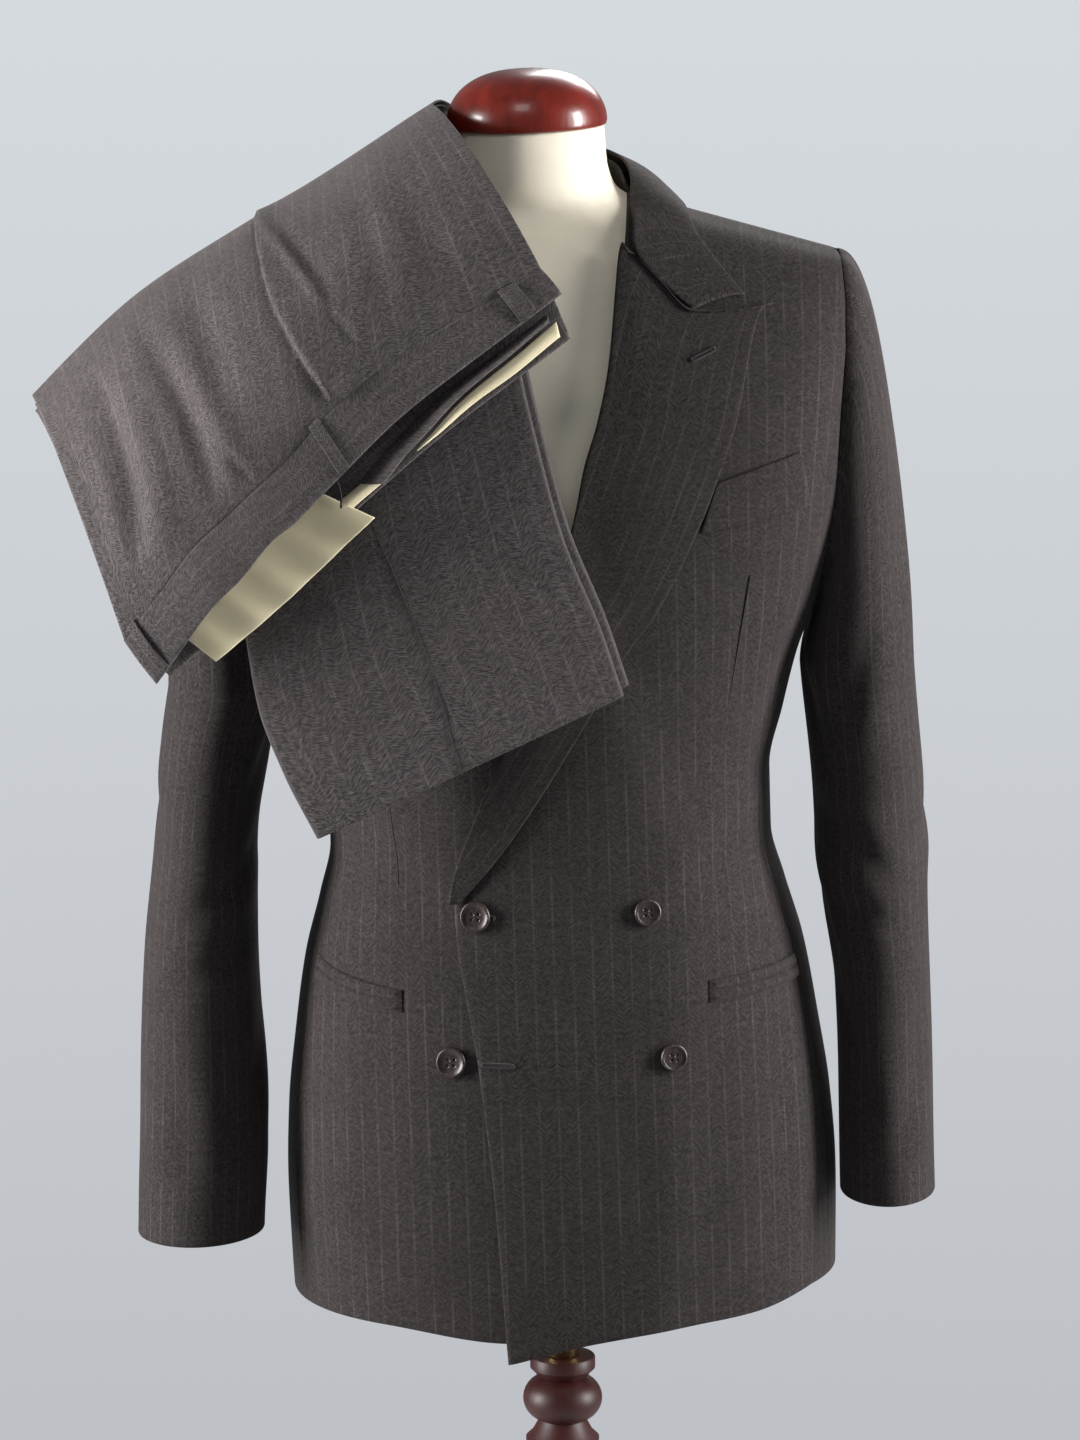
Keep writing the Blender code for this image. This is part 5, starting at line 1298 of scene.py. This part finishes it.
def turned(name, profile, steps, material, place=UPRIGHT):
    """A piece turned about its own axis: a disc drawn up ring by ring, then put in place."""
    bpy.ops.object.select_all(action="DESELECT")
    radius, height = profile[0]
    bpy.ops.mesh.primitive_circle_add(vertices=steps, radius=radius, fill_type="NGON", location=(0, 0, 0))
    piece = bpy.context.object
    piece.name = f"{name}_turned"
    bpy.ops.object.mode_set(mode="EDIT")
    bpy.ops.mesh.select_all(action="SELECT")
    bpy.ops.transform.translate(value=(0, 0, height))
    for (r0, z0), (r1, z1) in zip(profile, profile[1:]):
        bpy.ops.mesh.extrude_region_move(TRANSFORM_OT_translate={"value": (0, 0, z1 - z0)})
        bpy.ops.transform.resize(value=(r1 / r0, r1 / r0, 1), center_override=(0, 0, z1))
    bpy.ops.mesh.select_all(action="SELECT")
    bpy.ops.mesh.normals_make_consistent(inside=False)
    bpy.ops.object.mode_set(mode="OBJECT")
    bpy.ops.object.shade_smooth_by_angle(angle=math.radians(40))
    piece.data.transform(place)
    piece.data.materials.append(material)
    return piece


def button_place(across, height, out):
    """Where a button sits: on the front, with its axis along the front's normal."""
    seat = front_at(across, height, out)
    away = unit(front_at(across, height, out + 0.01) - seat)
    seat, tip = lean(seat), lean(seat + away) - lean(seat)
    return Matrix.Translation(Vector(seat)) @ Vector(tip).to_track_quat("Z", "Y").to_matrix().to_4x4()


def add_button(name, across, height, r):
    """A four-hole horn button with a raised rim, sewn on through its holes."""
    out = SEAM + (lap_out(height, across) if name != "button_lower_right" else 0.0)
    place = button_place(across, height, float(out))
    profile = [(0.35 * r, 0.0), (0.80 * r, 0.0004), (0.95 * r, 0.0010), (r, 0.0018), (0.995 * r, 0.0026),
               (0.97 * r, 0.0034), (0.92 * r, 0.0039), (0.86 * r, 0.0040), (0.79 * r, 0.0036),
               (0.74 * r, 0.0031), (0.45 * r, 0.0028), (0.02 * r, 0.0028)]
    piece = hand_over(turned(name, profile, 64, HORN), (name,))
    reach = BUTTON_HOLE_OUT * r
    for x, y in ((1, 1), (1, -1), (-1, 1), (-1, -1)):
        hole = turned("hole", [(BUTTON_HOLE, 0.0008), (BUTTON_HOLE, 0.006)], 20, HORN,
                      Matrix.Translation((reach * x, reach * y, 0)))
        cut = piece.modifiers.new("hole", "BOOLEAN")
        cut.object, cut.operation = hole, "DIFFERENCE"
        bpy.context.view_layer.objects.active = piece
        bpy.ops.object.modifier_apply(modifier="hole")
        bpy.data.objects.remove(hole)
    piece.data.transform(place)
    for k, y in enumerate((1, -1)):
        x = np.linspace(-1, 1, 15)
        z = 0.0030 + 0.0003 * np.cos(x * np.pi / 2) - 0.0012 * np.abs(x) ** 6
        stitch = np.stack([reach * x, 0 * x + reach * y, z, 1 + 0 * x], -1)
        points = lean((stitch @ np.array(place).T)[:, :3], -LEAN)
        tube(f"{name}_thread_{k + 1}", points, 0.00042, THREAD)


def add_form():
    """The smooth torso, closed below, with its neck, its seams and its wooden cap."""
    around, rings = 120, []
    turn = np.linspace(-1, 1, around, endpoint=False)
    for level in levels_between(0.815, FORM_SHOULDER, 90):
        inset = mix(0.012, 0.0044, ease((level - FORM_FOOT) / 0.25))
        rings.append(BODY.surface(level, BODY.read(BODY.length, level) * turn, -inset))
    for share in (0.86, 0.6, 0.25, 0.004):
        rings.insert(0, rings[0] * np.array([share, share, 0]) + np.array([0, 0, FORM_FOOT]))
    neck = Table("height width depth", [
        (NECK_FOOT, 0.0600, 0.0400), (1.462, 0.0535, 0.0470), (1.475, 0.0495, 0.0485),
        (NECK_TOP, NECK_RADIUS, NECK_RADIUS)])
    for height in np.linspace(NECK_FOOT, NECK_TOP, 26):
        width, depth = neck.read("width", height), neck.read("depth", height)
        ring = [width * np.sin(np.pi * turn), -depth * np.cos(np.pi * turn), 0 * turn + height]
        rings.append(np.stack(ring, -1))
    rings.append(rings[-1] * np.array([0.004, 0.004, 1]))
    points = np.array(rings)
    # The neck's foot is smoothed into the shoulders.
    shoulder = np.flatnonzero(np.abs(points[:, 0, 2] - NECK_FOOT) < 0.026)
    for _ in range(14):
        points[shoulder] = (points[shoulder - 1] + 2 * points[shoulder] + points[shoulder + 1]) / 4
    ids = np.arange(points[..., 0].size).reshape(points.shape[:2])
    faces = quads(np.concatenate([ids, ids[:, :1]], 1))
    maps = pair(np.linspace(0, 0.98, around + 1)[None], run_of(points[:, 40])[:, None])
    corners = quads(np.arange(maps[..., 0].size).reshape(maps.shape[:2]))
    if (outwards(points, wrap=True) * grid_normals(points, True)).sum() < 0:
        faces, corners = faces[:, ::-1], corners[:, ::-1]
    piece = add_mesh("form_torso_cover", points.reshape(-1, 3), faces.tolist(),
                     maps.reshape(-1, 2)[corners], FORM_CLOTH)
    hand_over(piece, ("form_torso",))
    # The centre back seam and the two side seams.
    for k, column in enumerate((0, around // 4, 3 * around // 4)):
        tube(f"form_seam_{k + 1}", points[6:-1, column], 0.0008, FORM_CLOTH)

    dome = [(CAP_RADIUS * 0.96, 1.5015), (CAP_RADIUS * 0.985, 1.5022), (CAP_RADIUS, CAP_FOOT)]
    for k in range(1, 22):
        angle = math.pi / 2 * k / 22
        dome.append((CAP_RADIUS * math.cos(angle) ** 0.8, CAP_FOOT + CAP_RISE * math.sin(angle)))
    dome.append((0.0004, CAP_FOOT + CAP_RISE))
    hand_over(turned("neck_cap", dome, 96, CAP_WOOD, lean_matrix()), ("neck_cap",))


def add_stand():
    """The rod, and the turned column with its round foot in one profile."""
    rod = [(0.0106, 0.6904), (0.011, 0.6910), (0.011, 0.7983), (0.0106, 0.7989)]
    hand_over(turned("stand_rod", rod, 64, BRASS), ("stand_rod",))
    profile = [(0.198, 0.0), (0.200, 0.0025), (0.200, 0.012), (0.1985, 0.0165), (0.194, 0.020),
               (0.150, 0.028)]
    for count, curve in (
        (24, [(0.150, 0.028), (0.090, 0.036), (0.058, 0.046), (0.040, 0.064), (0.033, 0.090)]),
        (20, [(0.033, 0.090), (0.040, 0.110), (0.030, 0.122), (0.026, 0.150)]),
        (24, [(0.026, 0.150), (0.030, 0.260), (0.033, 0.400), (0.030, 0.540), (0.0242, 0.610)]),
    ):
        profile += line(curve, count)[1:].tolist()
    profile += [(0.0242, 0.634), (0.0200, 0.638)]
    profile += [(0.0262 * math.cos(a) ** 0.7, 0.6610 + 0.0165 * math.sin(a))
                for a in np.radians(np.linspace(-62, 62, 13))]
    profile += [(0.0215, 0.6820), (0.0215, 0.6890), (0.0208, 0.6900)]
    hand_over(turned("stand_column", profile, 96, STAND_WOOD), ("stand_column",))


def add_stage():
    """A pale round floor. The world stands for the pale wall behind it."""
    turn = np.linspace(0, 2 * np.pi, 97)
    radius = np.linspace(0.02, FLOOR_RADIUS, 24)[:, None]
    points = np.stack(np.broadcast_arrays(radius * np.cos(turn), radius * np.sin(turn), 0 * radius), -1)
    ids = np.arange(points[..., 0].size).reshape(points.shape[:2])
    mesh = bpy.data.meshes.new("floor")
    mesh.from_pydata(points.reshape(-1, 3).tolist(), [], quads(ids)[:, ::-1].tolist())
    made, start, shader = new_material("floor", 0.9, {"Specular IOR Level": 0.1})
    cloud = on_the_piece(start).noise(1.4, 2.0)
    finish_material(start, shader, cloud.ramp((0.0, (0.36, 0.37, 0.38, 1)), (1.0, (0.41, 0.42, 0.43, 1))))
    mesh.materials.append(made)
    floor = bpy.data.objects.new("floor", mesh)
    bpy.context.scene.collection.objects.link(floor)


def add_world():
    """Soft light all round, and behind everything a wall that is a little darker towards the floor: painted
    shade.
    """
    world = bpy.data.worlds.new("world")
    world.use_nodes = True
    tree = world.node_tree
    start = Value(tree, None)
    soft_light = tree.nodes["Background"]
    soft_light.inputs["Color"].default_value = (0.80, 0.85, 0.90, 1)
    soft_light.inputs["Strength"].default_value = 0.22
    height = start.node("ShaderNodeSeparateXYZ", None, {0: start.node("ShaderNodeTexCoord")}, 2)
    # Painted shade: the wall's colour darkens towards the floor.
    shade = clamped((height + 0.33) * 4.0).ramp(
        (0.0, (0.50, 0.52, 0.55, 1)), (0.5, (0.59, 0.615, 0.65, 1)), (1.0, (0.66, 0.695, 0.725, 1)))
    wall = start.node("ShaderNodeBackground", None, {"Color": shade})
    both = start.node("ShaderNodeMixShader", None, {
        0: start.node("ShaderNodeLightPath"), 1: Value(tree, soft_light.outputs[0]), 2: wall})
    tree.links.new(both.socket, tree.nodes["World Output"].inputs["Surface"])
    bpy.context.scene.world = world


def add_light(name, place, target, size, power):
    """A soft box that looks at a target."""
    light = bpy.data.lights.new(name, "AREA")
    light.shape, light.size, light.size_y, light.energy = "RECTANGLE", size[0], size[1], power
    made = bpy.data.objects.new(name, light)
    made.location = place
    made.rotation_euler = (Vector(target) - Vector(place)).to_track_quat("-Z", "Y").to_euler()
    bpy.context.scene.collection.objects.link(made)


def add_camera_and_lights():
    """The photograph's viewing angle, and soft boxes above, at both sides and behind."""
    camera = bpy.data.cameras.new("camera")
    camera.lens = CAMERA_LENS
    made = bpy.data.objects.new("camera", camera)
    made.location = CAMERA_PLACE
    made.rotation_euler = (CAMERA_TILT, 0, 0)
    bpy.context.scene.collection.objects.link(made)
    bpy.context.scene.camera = made
    add_world()
    bpy.context.scene.view_settings.view_transform = "Standard"
    add_light("key", (-0.3, -1.5, 3.3), (-0.05, 0, 1.35), (0.7, 0.7), 7)
    add_light("right", (2.3, -0.42, 1.6), (0.1, 0, 1.0), (0.6, 1.8), 118)
    add_light("left", (-2.3, -0.52, 1.4), (-0.1, 0, 0.95), (0.6, 1.8), 124)
    add_light("back", (0.6, 2.4, 2.6), (0, 0, 1.1), (1.2, 1.2), 36)


for side in (1, -1):
    add_front(side)
    add_side(side)
    add_back(side)
    add_sleeve(side)
    add_lapel(side)
add_collar()
add_pockets()
add_trousers()
add_leg("trouser_leg_left", (0.0, 0.0), 0.0)
add_leg("trouser_leg_right", (0.0035, 0.0060), LEG_THICKNESS + SEAM)
add_leg_seam()
add_sewing()
for name, (across, height, radius) in BUTTONS.items():
    add_button(name, across, height, radius)
add_form()
add_stand()
add_stage()
add_camera_and_lights()
